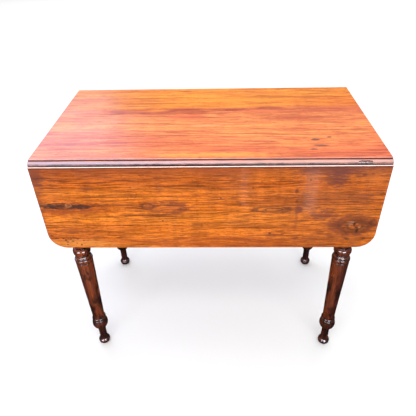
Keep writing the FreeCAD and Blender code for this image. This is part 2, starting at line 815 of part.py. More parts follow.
fly_bore = p.fly_pin_radius + p.pin_clearance
fly_pins = []
for side, word in SIDES.items():
    y_in = side * (fly_mid_y - knuckle_radius)
    y_mid = side * fly_mid_y
    y_out = side * (fly_mid_y + knuckle_radius)
    block = extruded(f"fly_block_{word}", "XY_Plane", [
        (shoulder - pin_x, y_in),
        (pin_x - shoulder, y_in),
        (pin_x - shoulder, y_mid),
        (pin_x - shoulder - knuckle_radius, y_out),
        (knuckle_radius + shoulder - pin_x, y_out),
        (shoulder - pin_x, y_mid),
    ], p.frieze_depth)
    put(block, 0, 0, frieze_z)
    solid = [block]
    waste = [screw.hole for screw in fly_screws[side]]
    for end, end_word in ENDS.items():
        name = f"fly_{word}_{end_word}"
        x = end * pin_x
        solid += knuckles(f"{name}_block_knuckle", x, y_mid, FIXED_KNUCKLES, knuckle_radius, 0)
        waste += knuckles(f"{name}_block_socket", x, y_mid, MOVING_KNUCKLES, socket_radius, 0)
        waste.append(rod(f"{name}_block_bore", "z", fly_bore, frieze_z, underside, x, y_mid))
        fly_pins.append(rod(f"{name}_pin", "z", p.fly_pin_radius, frieze_z, fly_high, x, y_mid))

        # The bracket, with an ogee sawn along its lower edge
        arm = extruded(f"{name}_arm", "XY_Plane", [
            (end * (pin_x + shoulder), y_in),
            (end * (pin_x + arm_length), y_in),
            (end * (pin_x + arm_length), y_out),
            (end * (pin_x + shoulder + knuckle_radius), y_out),
            (end * (pin_x + shoulder), y_mid),
        ], fly_high - frieze_z)
        put(arm, 0, 0, frieze_z)
        rise = fly_high - frieze_z - p.bracket_tip_depth
        curve_x = pin_x + p.bracket_curve_start
        ogee = extruded(f"{name}_ogee", "XZ_Plane", [
            (end * curve_x, 0),
            (end * (curve_x + p.bracket_curve_run), rise / 2, -end * p.bracket_curve_bulge),
            (end * (curve_x + 2 * p.bracket_curve_run), rise, end * p.bracket_curve_bulge),
            (end * leg_inner_x, rise),
            (end * leg_inner_x, 0),
        ], p.top_width, both_ways=True)
        put(ogee, 0, 0, frieze_z)
        gap = p.fly_knuckle_gap / 2
        own = knuckles(f"{name}_arm_knuckle", x, y_mid, MOVING_KNUCKLES, knuckle_radius, gap)
        sockets = knuckles(f"{name}_arm_socket", x, y_mid, FIXED_KNUCKLES, socket_radius, -gap)
        bore = rod(f"{name}_arm_bore", "z", fly_bore, frieze_z, fly_high, x, y_mid)
        bracket = carve(f"{name}_bracket", join(f"{name}_blank", [arm] + own), sockets + [ogee, bore])
        node(bracket, f"fly_bracket_{word}_{end_word}")
    fly_blank = join(f"fly_block_blank_{word}", solid)
    node(carve(f"fly_block_fitted_{word}", fly_blank, waste), f"fly_rail_{word}")
node(group("fly_pin_set", fly_pins), "fly_pins")

# Drawer: half-blind dovetails at the front, through dovetails at the back, a bottom slid into grooves
front_x = (frame_end_x - p.drawer_front_thickness, frame_end_x)
drawer_low = opening_low + p.drawer_running_gap
drawer_high = opening_high - p.drawer_top_gap
drawer_height = drawer_high - drawer_low
tail_tip_x = frame_end_x - p.drawer_front_lap
back_x = (drawer_back_x, drawer_back_x + p.drawer_back_thickness)
floor_z = (drawer_low + p.drawer_bottom_rise, drawer_low + p.drawer_bottom_rise + p.drawer_bottom_thickness)
back_z = (floor_z[1], drawer_high - p.drawer_back_drop)
side_inner = drawer_half - p.drawer_side_thickness
groove_y = side_inner + p.drawer_groove_depth
floor_reach = front_x[0] + p.drawer_groove_depth


def drawer_tail(name, end, side, x, z, length):
    """One dovetail on the end of a drawer side, widening towards its tip."""
    tail = doc.addObject("Part::Wedge", name)
    root_half = p.tail_width / 2
    tip_half = root_half + p.tail_flare
    limits = {
        "Z": (-root_half, root_half), "Z2": (-tip_half, tip_half), "Y": (0, length),
        "X": (0, p.drawer_side_thickness), "X2": (0, p.drawer_side_thickness),
    }
    wedge_limits(tail, limits)
    low, high = span(side, side_inner, drawer_half)
    turn(tail, (0, 0, 1), -90 if end == RIGHT else 90)
    return put(tail, x, high if end == RIGHT else low, z)


def drawer_tails(name, side):
    """The tails on both ends of a drawer side, first those in the front and then those in the back."""
    front = []
    length = tail_tip_x - front_x[0]
    for index in range(TAILS):
        z = drawer_low + drawer_height * (2 * index + 1) / (2 * TAILS)
        front.append(drawer_tail(f"{name}_front{index}", RIGHT, side, front_x[0], z, length))
    back = []
    for index in range(BACK_TAILS):
        z = back_z[0] + (back_z[1] - back_z[0]) * (2 * index + 1) / (2 * BACK_TAILS)
        back.append(drawer_tail(f"{name}_back{index}", LEFT, side, back_x[1], z, p.drawer_back_thickness))
    return front, back


front_sockets = []
back_sockets = []
for side, word in SIDES.items():
    front_tails, back_tails = drawer_tails(f"tail_{word}", side)
    board_y = span(side, side_inner, drawer_half)
    board = box(f"drawer_board_{word}", (back_x[1], front_x[0]), board_y, (drawer_low, drawer_high))
    heel = box(f"drawer_heel_{word}", back_x, board_y, (drawer_low, floor_z[1]))
    groove_run = (back_x[0], floor_reach)
    groove = box(f"drawer_groove_{word}", groove_run, span(side, side_inner, groove_y), floor_z)
    blank = join(f"drawer_blank_{word}", [board, heel] + front_tails + back_tails)
    node(carve(f"drawer_wall_{word}", blank, [groove]), f"drawer_side_{word}")
    sockets = drawer_tails(f"socket_{word}", side)
    front_sockets += sockets[0]
    back_sockets += sockets[1]

drawer_y = (-drawer_half, drawer_half)
front_board = box("drawer_face", front_x, drawer_y, (drawer_low, drawer_high))
front_groove = box("drawer_face_groove", (front_x[0], floor_reach), (-groove_y, groove_y), floor_z)
knob_z = (drawer_low + drawer_high) / 2
knob_holes = []
crown_radius = (p.knob_head_radius * p.knob_head_radius + p.knob_crown * p.knob_crown) / (2 * p.knob_crown)
crown_bulge = arc_bulge(crown_radius, p.knob_head_radius, p.knob_crown)
knob_neck_top = p.drawer_front_thickness + p.knob_neck_height
knob_head_top = knob_neck_top + p.knob_head_height
knob_turning = [
    (0, 0),
    (p.knob_spigot_radius, 0),
    (p.knob_spigot_radius, p.drawer_front_thickness),
    (p.knob_base_radius, p.drawer_front_thickness),
    (p.knob_neck_radius, knob_neck_top),
    (p.knob_head_radius, knob_head_top, p.knob_head_bulge),
    (0, knob_head_top + p.knob_crown, crown_bulge),
]
for side, word in SIDES.items():
    knob = doc.addObject("PartDesign::Body", f"knob_{word}")
    turned(knob, knob_turning)
    turn(knob, (0, 1, 0), 90)
    put(knob, front_x[0], side * p.knob_spread, knob_z)
    node(knob, f"drawer_knob_{word}")
    hole = p.knob_spigot_radius + p.pin_clearance
    knob_holes.append(rod(f"knob_hole_{word}", "x", hole, *front_x, side * p.knob_spread, knob_z))
node(carve("drawer_face_fitted", front_board, front_sockets + knob_holes + [front_groove]), "drawer_front")
back_board = box("drawer_end", back_x, drawer_y, back_z)
node(carve("drawer_end_fitted", back_board, back_sockets), "drawer_back")
node(box("drawer_floor", (back_x[0], floor_reach), (-groove_y, groove_y), floor_z), "drawer_bottom")

# Stops on the lower rail, and glue blocks in the corners under the top
stop_x = (front_x[0] - p.stop_gap - p.stop_length, front_x[0] - p.stop_gap)
stop_z = (opening_low, opening_low + p.stop_height)
stops = []
blocks = []
block_z = (opening_high, underside)
block_x = (block_end_x, block_end_x + p.glue_block_square)
for side, word in SIDES.items():
    stop_y = span(side, p.stop_distance, p.stop_distance + p.stop_width)
    stops.append(box(f"stop_{word}", stop_x, stop_y, stop_z))
    end_y = span(side, p.glue_block_end_distance, p.glue_block_end_distance + p.glue_block_length)
    blocks.append(box(f"end_block_{word}", block_x, end_y, block_z))
    rail_y = span(side, rail_inner_y - p.glue_block_square, rail_inner_y)
    rail_run = (rail_block_x, rail_block_x + p.glue_block_length)
    blocks.append(box(f"rail_block_{word}", rail_run, rail_y, block_z))
node(group("stop_pair", stops), "drawer_stops")
node(group("glue_block_set", blocks), "glue_blocks")

# Check every piece, then write it
doc.recompute()
failed = [thing.Label for thing in doc.Objects if {"Invalid", "Error"} & set(thing.State)]
failed += [piece.Label for piece in nodes if piece.Shape.isNull() or not piece.Shape.isValid()]
if failed:
    raise RuntimeError("not built: " + ", ".join(failed))
os.makedirs("parts", exist_ok=True)
for piece in nodes:
    piece.Shape.exportStep(os.path.join("parts", f"{piece.Label}.step"))
print(len(nodes), "pieces written")
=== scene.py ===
import math

import bpy
from mathutils import Matrix, Vector


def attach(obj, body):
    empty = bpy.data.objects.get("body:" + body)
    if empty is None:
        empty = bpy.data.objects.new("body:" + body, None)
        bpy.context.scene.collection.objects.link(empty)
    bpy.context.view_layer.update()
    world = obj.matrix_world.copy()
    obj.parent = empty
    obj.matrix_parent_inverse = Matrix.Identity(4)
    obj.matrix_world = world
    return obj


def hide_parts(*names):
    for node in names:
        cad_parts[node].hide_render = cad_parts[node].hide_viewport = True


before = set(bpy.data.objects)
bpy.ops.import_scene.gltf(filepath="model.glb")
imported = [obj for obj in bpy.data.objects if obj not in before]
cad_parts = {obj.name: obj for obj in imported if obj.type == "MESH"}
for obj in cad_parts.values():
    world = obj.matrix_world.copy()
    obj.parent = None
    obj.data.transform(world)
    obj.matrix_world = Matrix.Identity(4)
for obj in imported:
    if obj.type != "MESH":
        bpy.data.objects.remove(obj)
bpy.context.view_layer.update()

# Legs: four mahogany legs, each turned from one square blank whose upper end is left square as a head
# for the rails. The turning is stained dark and polished, with dirt in its grooves and a grain that
# runs up the leg.
MM = 0.001


def begin(add, name, **how):
    """Add a primitive by itself and leave it as the active object."""
    if bpy.context.mode != "OBJECT":
        bpy.ops.object.mode_set(mode="OBJECT")
    bpy.ops.object.select_all(action="DESELECT")
    add(**how)
    piece = bpy.context.object
    piece.name = piece.data.name = name
    return piece


def block(name, low, high):
    """A cuboid between two corners, in millimetres."""
    middle = [(a + b) / 2 * MM for a, b in zip(low, high)]
    piece = begin(bpy.ops.mesh.primitive_cube_add, name, size=1, location=middle)
    piece.scale = [(b - a) * MM for a, b in zip(low, high)]
    bpy.ops.object.transform_apply(location=True, rotation=True, scale=True)
    return piece


def bow(start, stop, bulge, steps):
    """Points along an arc from start to stop that bows to the right of the way drawn."""
    run = Vector(stop) - Vector(start)
    chord = run.length
    radius = (chord * chord / 4 + bulge * bulge) / (2 * abs(bulge))
    side = Vector((run.y, -run.x)).normalized() * math.copysign(1, bulge)
    centre = (Vector(start) + Vector(stop)) / 2 - side * (radius - abs(bulge))
    first = Vector(start) - centre
    sweep = 2 * math.asin(min(1, chord / 2 / radius)) * math.copysign(1, bulge)
    turned = []
    for step in range(1, steps + 1):
        angle = sweep * step / steps
        turned.append((
            centre.x + first.x * math.cos(angle) - first.y * math.sin(angle),
            centre.y + first.x * math.sin(angle) + first.y * math.cos(angle),
        ))
    return turned


def turn_on_lathe(name, stations, arc_steps, around):
    """Draw a profile from (radius, height, bulge) stations, spin it and close it, in millimetres."""
    points = [stations[0][:2]]
    for before, station in zip(stations, stations[1:]):
        if len(station) == 3:
            points += bow(before[:2], station[:2], station[2], arc_steps)
        else:
            points.append(station[:2])
    piece = begin(bpy.ops.mesh.primitive_plane_add, name, size=MM, location=(0, 0, points[0][1] * MM))
    bpy.ops.object.transform_apply(location=True)
    bpy.ops.object.mode_set(mode="EDIT")
    bpy.ops.mesh.merge(type="CENTER")
    for before, point in zip(points, points[1:]):
        step = ((point[0] - before[0]) * MM, 0, (point[1] - before[1]) * MM)
        bpy.ops.mesh.extrude_region_move(TRANSFORM_OT_translate={"value": step})
    bpy.ops.mesh.select_all(action="SELECT")
    bpy.ops.mesh.spin(steps=around, angle=math.tau, center=(0, 0, 0), axis=(0, 0, 1))
    bpy.ops.mesh.select_all(action="SELECT")
    bpy.ops.mesh.remove_doubles(threshold=0.00001)
    bpy.ops.mesh.normals_make_consistent(inside=False)
    bpy.ops.object.mode_set(mode="OBJECT")
    return piece


def activate(piece):
    """Select one piece alone and make it the active object."""
    bpy.ops.object.select_all(action="DESELECT")
    piece.select_set(True)
    bpy.context.view_layer.objects.active = piece


def cut(piece, cutters, operation="DIFFERENCE"):
    """Cut a piece with others, which are used up."""
    activate(piece)
    for cutter in cutters:
        modifier = piece.modifiers.new(cutter.name, "BOOLEAN")
        modifier.object = cutter
        modifier.operation = operation
        modifier.solver = "EXACT"
        bpy.ops.object.modifier_apply(modifier=modifier.name)
        bpy.data.objects.remove(cutter)


def smooth(piece, angle=35):
    """Shade round faces smooth while broad flat ones stay flat."""
    activate(piece)
    bpy.ops.object.shade_smooth_by_angle(angle=math.radians(angle))
    modifier = piece.modifiers.new("flat_faces", "WEIGHTED_NORMAL")
    modifier.keep_sharp = True
    bpy.ops.object.modifier_apply(modifier=modifier.name)


def soften(piece, width, segments=2, angle=35):
    """Round the arrises that are sharper than an angle, and shade the rest smooth."""
    activate(piece)
    modifier = piece.modifiers.new("arris", "BEVEL")
    modifier.width = width * MM
    modifier.segments = segments
    modifier.limit_method = "ANGLE"
    modifier.angle_limit = math.radians(angle)
    modifier.miter_outer = "MITER_ARC"
    bpy.ops.object.modifier_apply(modifier=modifier.name)
    smooth(piece, angle)


leg_x, leg_y = 376, 195
head_low, head_high, head_half = 516, 717, 27
bead_arris, head_arris, facets_around = 0.5, 1.5, 72
leg_turning = [
    (0, 0), (11.5, 0), (17.6, 9, 2.4), (16.4, 17, 1.4), (12.2, 38, -2.6), (13, 76, -0.8),
    (21.3, 114, 7.2), (20.2, 119, 1.4), (18.6, 119.4), (19.6, 128, 2.6),
    (18.4, 133), (25.2, 377.5), (24.1, 378.5), (24.6, 379.5), (24.6, 391, 1.5), (22.4, 391),
    (20, 399, 1.4), (20, 403, -1), (20, 430, 5.2), (18.8, 430), (18.8, 434), (24.5, 500, -3),
    (24.5, head_low, 2.5), (0, head_low),
]
shoulder_high, wide_out, past_head = 532, 60, 760
pommel_turning = [
    (0, head_low), (27, head_low), (38.2, shoulder_high, 3),
    (wide_out, shoulder_high), (wide_out, past_head), (0, past_head),
]

leg_column = turn_on_lathe("leg_column", leg_turning, arc_steps=10, around=facets_around)
soften(leg_column, bead_arris)
leg_head = block("leg_head", (-head_half, -head_half, head_low), (head_half, head_half, head_high))
soften(leg_head, head_arris, segments=3)
leg_pommel = turn_on_lathe("leg_pommel", pommel_turning, arc_steps=12, around=facets_around)
cut(leg_head, [leg_pommel], "INTERSECT")
cut(leg_column, [leg_head], "UNION")
smooth(leg_column)


def add_node(tree, kind, inputs=None, **settings):
    """Add a shader node, set its options, and link or fill its inputs."""
    node = tree.nodes.new("ShaderNode" + kind)
    for option, value in settings.items():
        setattr(node, option, value)
    for socket, value in (inputs or {}).items():
        if isinstance(value, bpy.types.NodeSocket):
            tree.links.new(value, node.inputs[socket])
        else:
            node.inputs[socket].default_value = value
    return node


def ramp(tree, value, low, high):
    """A soft step from 0 at low to 1 at high."""
    inputs = {"Value": value, "From Min": low, "From Max": high}
    return add_node(tree, "MapRange", inputs, interpolation_type="SMOOTHSTEP").outputs[0]


def arithmetic(tree, operation, first, second=0.0, third=0.0):
    """The output of a Math node."""
    return add_node(tree, "Math", {0: first, 1: second, 2: third}, operation=operation).outputs[0]


def vectors(tree, operation, first, second=(0, 0, 0)):
    """The output of a Vector Math node."""
    return add_node(tree, "VectorMath", {0: first, 1: second}, operation=operation).outputs[0]


def blend(tree, share, first, second, kind="MIX"):
    """A share of the second colour laid over the first."""
    node = add_node(tree, "Mix", data_type="RGBA", blend_type=kind)
    # In a Mix node for colours, socket 0 is the share, and 6 and 7 are the colours
    for socket, value in ((0, share), (6, first), (7, second)):
        if isinstance(value, bpy.types.NodeSocket):
            tree.links.new(value, node.inputs[socket])
        else:
            node.inputs[socket].default_value = (*value, 1) if isinstance(value, tuple) else value
    return node.outputs[2]


def stretched_noise(tree, place, stretch, detail, roughness=0.55):
    """Noise with its own scale along each axis."""
    inputs = {"Vector": vectors(tree, "MULTIPLY", place, stretch), "Scale": 1.0}
    return add_node(tree, "TexNoise", inputs | {"Detail": detail, "Roughness": roughness})


def group_of(name, given, made):
    """An empty node group with its sockets: returns the tree, its inputs and its output node."""
    tree = bpy.data.node_groups.new(name, "ShaderNodeTree")
    kinds = {"vector": "NodeSocketVector", "colour": "NodeSocketColor", "value": "NodeSocketFloat"}
    for way, sockets in (("INPUT", given), ("OUTPUT", made)):
        for socket, kind in sockets.items():
            tree.interface.new_socket(socket, in_out=way, socket_type=kinds[kind])
    return tree, tree.nodes.new("NodeGroupInput").outputs, tree.nodes.new("NodeGroupOutput").inputs


def make_wood_figure():
    """Polished wood cut along the grain, which runs along the X of the place that goes in."""
    tree, given, made = group_of("wood_figure", {
        "Place": "vector", "Light": "colour", "Middle": "colour", "Dark": "colour",
        "Bands": "value", "Streaks": "value", "Hairs": "value", "Pores": "value", "Wave": "value",
        "Smoke": "value", "Ripple": "value",
    }, {"Color": "colour", "Roughness": "value", "Height": "value"})
    sway = stretched_noise(tree, given["Place"], (2.2, 9, 9), 3).outputs["Color"]
    reach = add_node(tree, "CombineXYZ", {1: given["Wave"], 2: given["Wave"]}).outputs[0]
    shift = vectors(tree, "MULTIPLY", vectors(tree, "SUBTRACT", sway, (0.5, 0.5, 0.5)), reach)
    place = vectors(tree, "ADD", given["Place"], shift)
    layers = {
        "Smoke": (stretched_noise(tree, given["Place"], (3.5, 20, 20), 6, 0.62), 0.48, 0.7),
        "Ripple": (stretched_noise(tree, given["Place"], (48, 5, 5), 2), 0.42, 0.64),
        "Streaks": (stretched_noise(tree, place, (4, 210, 210), 4, 0.6), 0.48, 0.63),
        "Hairs": (stretched_noise(tree, place, (18, 480, 480), 3, 0.6), 0.47, 0.6),
        "Pores": (stretched_noise(tree, place, (120, 700, 700), 2), 0.54, 0.68),
    }
    bands = stretched_noise(tree, place, (0.7, 17, 17), 4).outputs[0]
    band_share = arithmetic(tree, "MULTIPLY", ramp(tree, bands, 0.36, 0.62), given["Bands"])
    tone = blend(tree, band_share, given["Light"], given["Middle"])
    pale_lines = ramp(tree, layers["Streaks"][0].outputs[0], 0.45, 0.36)
    tone = blend(tree, arithmetic(tree, "MULTIPLY", pale_lines, given["Streaks"]), tone, given["Light"])
    for layer, (noise, low, high) in layers.items():
        share = arithmetic(tree, "MULTIPLY", ramp(tree, noise.outputs[0], low, high), given[layer])
        tone = blend(tree, share, tone, given["Dark"])
    hairs, pore_share = layers["Hairs"][0].outputs[0], share
    worn = stretched_noise(tree, given["Place"], (6, 11, 11), 5, 0.65).outputs[0]
    rough = arithmetic(tree, "ADD", arithmetic(tree, "MULTIPLY", ramp(tree, worn, 0.3, 0.7), 0.2), 0.2)
    grain_height = arithmetic(tree, "MULTIPLY", hairs, 0.5)
    tree.links.new(tone, made["Color"])
    tree.links.new(rough, made["Roughness"])
    tree.links.new(arithmetic(tree, "SUBTRACT", grain_height, pore_share), made["Height"])
    return tree


def make_mark():
    """A mask round a spot or along a line, with each axis weighed and a ragged rim."""
    tree, given, made = group_of("mark", {
        "Place": "vector", "At": "vector", "Weight": "vector", "Ragged": "value", "Hollow": "value",
    }, {"Mask": "value"})
    away = vectors(tree, "SUBTRACT", given["Place"], given["At"])
    away = vectors(tree, "MULTIPLY", away, given["Weight"])
    distance = add_node(tree, "VectorMath", {0: away}, operation="LENGTH").outputs["Value"]
    rim = stretched_noise(tree, given["Place"], (60, 240, 240), 4).outputs[0]
    wander = arithmetic(tree, "MULTIPLY", arithmetic(tree, "SUBTRACT", rim, 0.5), given["Ragged"])
    distance = arithmetic(tree, "MULTIPLY_ADD", wander, 2.0, distance)
    within = ramp(tree, distance, 1.0, 0.35)
    hollow_rim = arithmetic(tree, "SUBTRACT", given["Hollow"], 0.3)
    past_hollow = ramp(tree, distance, hollow_rim, given["Hollow"])
    tree.links.new(arithmetic(tree, "MULTIPLY", within, past_hollow), made["Mask"])
    return tree


wood_figure, mark = make_wood_figure(), make_mark()
ALONG_X, ALONG_Y, ALONG_Z = (0, 0, 0), (0, 0, math.pi / 2), (0, math.pi / 2, 0)


def near(tree, place, at, reach, ragged=0.0, share=1.0, hollow=0.0):
    """Mask of a mark at a place in mm that reaches so many mm each way, for ever where a reach is None.

    A hollow mark is a ring, empty out to that share of its reach.
    """
    group = add_node(tree, "Group", node_tree=mark)
    tree.links.new(place, group.inputs["Place"])
    group.inputs["At"].default_value = [a * MM for a in at]
    group.inputs["Weight"].default_value = [0 if r is None else 1 / (r * MM) for r in reach]
    group.inputs["Ragged"].default_value = ragged
    group.inputs["Hollow"].default_value = hollow
    return arithmetic(tree, "MULTIPLY", group.outputs["Mask"], share)


def bare_material(name):
    """A new material: returns it, its node tree, its shader and the place on the piece."""
    material = bpy.data.materials.new(name)
    material.use_nodes = True
    tree = material.node_tree
    return material, tree, tree.nodes["Principled BSDF"], add_node(tree, "TexCoord").outputs["Object"]


def figure_in(tree, place, colours, **strengths):
    """Place the wood figure in a material with its own light, middle and dark colours and strengths."""
    figure = add_node(tree, "Group", node_tree=wood_figure)
    tree.links.new(place, figure.inputs["Place"])
    for socket, colour in zip(("Light", "Middle", "Dark"), colours):
        figure.inputs[socket].default_value = (*colour, 1)
    for layer, strength in strengths.items():
        figure.inputs[layer.capitalize()].default_value = strength
    return figure.outputs


def polish(tree, shader, colour, figure, coat, coat_roughness=0.12, bump=0.12):
    """Link a colour and a figure to the shader under a coat of polish."""
    tree.links.new(colour, shader.inputs["Base Color"])
    tree.links.new(figure["Roughness"], shader.inputs["Roughness"])
    raised = add_node(tree, "Bump", {"Height": figure["Height"], "Strength": bump, "Distance": 0.0006})
    tree.links.new(raised.outputs[0], shader.inputs["Normal"])
    shader.inputs["Coat Weight"].default_value = coat
    shader.inputs["Coat Roughness"].default_value = coat_roughness


def wooden(name, grain, colours, coat, **strengths):
    """A plain wood material: the shared figure in its own colours, turned along its grain."""
    material, tree, shader, place = bare_material(name)
    turned = add_node(tree, "Mapping", {"Vector": place, "Rotation": grain}).outputs[0]
    figure = figure_in(tree, turned, colours, **strengths)
    polish(tree, shader, figure["Color"], figure, coat)
    return material


STAINED_RED = ((0.35, 0.068, 0.012), (0.115, 0.021, 0.008), (0.014, 0.004, 0.004))
BLACK_STAIN, FOOT_STAIN, GROOVE_DIRT = (0.01, 0.004, 0.004), (0.018, 0.006, 0.006), (0.01, 0.005, 0.004)
HEAD_RED = (0.2, 0.045, 0.012)
groove_heights = (119, 129, 378.5, 391.5, 401, 432, head_low)


def make_leg_polish():
    """Dark stain in blotches, darkest at the foot and in the grooves, and redder on the square head."""
    material, tree, shader, place = bare_material("leg_polish")
    turned = add_node(tree, "Mapping", {"Vector": place, "Rotation": ALONG_Z}).outputs[0]
    figure = figure_in(
        tree, turned, STAINED_RED,
        bands=0.9, streaks=0.45, hairs=0.5, pores=0.4, wave=0.03, smoke=0.7, ripple=0,
    )
    height = add_node(tree, "SeparateXYZ", {0: place}).outputs["Z"]
    blotches = stretched_noise(tree, place, (40, 40, 17), 5, 0.62).outputs[0]
    blotched = arithmetic(tree, "MULTIPLY", ramp(tree, blotches, 0.47, 0.6), 0.85)
    tone = blend(tree, blotched, figure["Color"], BLACK_STAIN)
    foot = arithmetic(tree, "MULTIPLY", ramp(tree, height, 140 * MM, 110 * MM), 0.62)
    tone = blend(tree, foot, tone, FOOT_STAIN)
    for groove in groove_heights:
        dirt = near(tree, place, (0, 0, groove), (None, None, 3), ragged=0.6, share=0.85)
        tone = blend(tree, dirt, tone, GROOVE_DIRT)
    head = arithmetic(tree, "MULTIPLY", ramp(tree, height, 500 * MM, 560 * MM), 0.55)
    tone = blend(tree, head, tone, blend(tree, 0.6, figure["Color"], HEAD_RED))
    polish(tree, shader, tone, figure, 1.0, 0.08)
    shader.inputs["Coat IOR"].default_value = 1.9
    return material


leg_polish = make_leg_polish()
for end, x in (("left", -leg_x), ("right", leg_x)):
    for side, y in (("front", -leg_y), ("rear", leg_y)):
        leg = bpy.data.objects.new(f"turned_leg_{side}_{end}", leg_column.data.copy())
        bpy.context.scene.collection.objects.link(leg)
        leg.data.transform(Matrix.Translation((x * MM, y * MM, 0)))
        leg.data.materials.clear()
        leg.data.materials.append(leg_polish)
        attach(leg, "frame")
        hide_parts(f"leg_{side}_{end}")
bpy.data.objects.remove(leg_column)

# Rails: a mahogany-faced rail closes one end, two narrow rails stand over and under the drawer at the
# other, and long pine rails run inside. They are tenoned or dovetailed into the leg heads, with glue
# blocks rubbed into the corners.
FRIEZE = ((0.4, 0.1, 0.022), (0.27, 0.058, 0.014), (0.06, 0.014, 0.006))
PINE = ((0.5, 0.29, 0.12), (0.38, 0.2, 0.075), (0.16, 0.07, 0.026))
DRY_GRAIN = dict(bands=0.8, streaks=0.4, hairs=0.4, pores=0.2, wave=0.03, smoke=0.3, ripple=0)
rail_arris = 0.9


def softened_copy(node, name, width, body, material):
    """Copy a CAD piece, merge its facets, round its arrises and let it ride in the piece's stead."""
    piece = bpy.data.objects.new(name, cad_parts[node].data.copy())
    bpy.context.scene.collection.objects.link(piece)
    activate(piece)
    bpy.ops.mesh.customdata_custom_splitnormals_clear()
    bpy.ops.object.mode_set(mode="EDIT")
    bpy.ops.mesh.select_all(action="SELECT")
    bpy.ops.mesh.remove_doubles(threshold=0.00001)
    bpy.ops.mesh.dissolve_limited(angle_limit=math.radians(1))
    bpy.ops.object.mode_set(mode="OBJECT")
    soften(piece, width)
    piece.data.materials.clear()
    piece.data.materials.append(material)
    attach(piece, body)
    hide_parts(node)


def finish_nodes(material, names):
    """Give CAD pieces their finish."""
    for name in names:
        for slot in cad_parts[name].material_slots:
            slot.material = material


frieze_polish = wooden(
    "frieze_polish", ALONG_Y, FRIEZE, 0.5,
    bands=0.8, streaks=0.4, hairs=0.45, pores=0.5, wave=0.03, smoke=0.5, ripple=0.12,
)
pine = wooden("old_pine", ALONG_X, PINE, 0, **DRY_GRAIN)
for node in ("end_rail", "drawer_rail_top", "drawer_rail_bottom"):
    softened_copy(node, f"polished_{node}", rail_arris, "frame", frieze_polish)
finish_nodes(pine, ["inner_rail_front", "inner_rail_rear", "glue_blocks"])

# Fly rails and brackets: beech outer rails, each fixed at its middle, whose two ends are sawn off as
# brackets and turn on wooden knuckle joints with iron pins. They are waxed, not polished, and their
# edges are rubbed round.
BEECH = ((0.4, 0.21, 0.1), (0.31, 0.15, 0.066), (0.15, 0.065, 0.03))
rubbed_arris = 0.7
beech = wooden(
    "fly_beech", ALONG_X, BEECH, 0.1,
    bands=0.7, streaks=0.3, hairs=0.4, pores=0.6, wave=0.02, smoke=0.2, ripple=0,
)
for side in ("front", "rear"):
    softened_copy(f"fly_rail_{side}", f"knuckled_rail_{side}", rubbed_arris, "frame", beech)
    for end in ("left", "right"):
        bracket = f"fly_bracket_{side}_{end}"
        copy_name = f"knuckled_bracket_{side}_{end}"
        softened_copy(bracket, copy_name, rubbed_arris, bracket, beech)

# Drawer: a mahogany front on a dovetailed pine box that slides on pine runners under pine kickers, and
# stops against two small blocks. Its two knobs are turned from the same dark wood as the legs.
pine_across = wooden("old_pine_across", ALONG_Y, PINE, 0, **DRY_GRAIN)
drawer_arris = 0.8
softened_copy(
    "drawer_front", "polished_drawer_front", drawer_arris, "drawer", frieze_polish,
)
finish_nodes(leg_polish, ["drawer_knob_front", "drawer_knob_rear"])
finish_nodes(pine_across, ["drawer_back", "drawer_bottom"])
for side in ("front", "rear"):
    finish_nodes(pine, [f"drawer_{piece}_{side}" for piece in ("side", "runner", "kicker")])
finish_nodes(pine, ["drawer_stops"])

# Hinges and screws: six wrought-iron backflap hinges with a pin each, and steel wood screws. The bare
# metal is grey where it is rubbed and brown with rust where it is not.
RUST, IRON, STEEL = (0.12, 0.06, 0.035), (0.5, 0.49, 0.51), (0.26, 0.23, 0.2)


def metal(name, colour, roughness):
    """Old metal with rust in patches."""
    material, tree, shader, place = bare_material(name)
    rust = stretched_noise(tree, place, (160, 160, 160), 5).outputs[0]
    tone = blend(tree, ramp(tree, rust, 0.5, 0.68), colour, RUST)
    tree.links.new(tone, shader.inputs["Base Color"])
    worn = arithmetic(tree, "MULTIPLY_ADD", rust, 0.3, roughness)
    tree.links.new(worn, shader.inputs["Roughness"])
    shader.inputs["Metallic"].default_value = 0.85
    return material


screws = [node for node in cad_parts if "screws" in node]
irons = [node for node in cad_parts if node.startswith("hinge_") and node not in screws]
finish_nodes(metal("hinge_iron", IRON, 0.26), irons + ["fly_pins"])
finish_nodes(metal("screw_steel", STEEL, 0.25), screws)

# Top: one wide mahogany board, planed and polished, with a lip, a quirk and an ovolo run along both
# long edges and gains cut under them for the hinges. The ovolo has broken out in front of the hinge at
# the right.
half_length, lip_half, top_low, top_high = 435, 231, 717, 735
lip_low, ovolo_radius, ovolo_foot = 731.5, 10.5, 240.7
axis_y, axis_z = 231, 721
hinge_places, hinge_half, knuckle_room = (-370, 0, 370), 18.6, 4.6
top_arris, end_arris, end_arris_below, bevel_spare = 1.5, 0.5, 733, 0.05
gain_low = 716.4
# Each gain: its name, nearer and further Y, and upper Z
gain_shapes = (
    ("bed", 202.4, 231, 719.1), ("trough", 226.4, 235.6, axis_z), ("slot", 231, 245, 719.7),
)


def choose(piece, kind, test):
    """Go into edit mode with those faces, edges or points selected whose place and way pass a test."""
    activate(piece)
    bpy.ops.object.mode_set(mode="EDIT")
    bpy.ops.mesh.select_mode(type=kind)
    bpy.ops.mesh.select_all(action="DESELECT")
    bpy.ops.object.mode_set(mode="OBJECT")
    at = [vertex.co / MM for vertex in piece.data.vertices]
    if kind == "FACE":
        for face in piece.data.polygons:
            face.select = bool(test(face.center / MM, face.normal))
    elif kind == "EDGE":
        for edge in piece.data.edges:
            first, second = at[edge.vertices[0]], at[edge.vertices[1]]
            edge.select = bool(test((first + second) / 2, (second - first).normalized()))
    else:
        for vertex, place in zip(piece.data.vertices, at):
            vertex.select = bool(test(place, vertex.normal))
    bpy.ops.object.mode_set(mode="EDIT")


def done():
    """Leave edit mode."""
    bpy.ops.object.mode_set(mode="OBJECT")


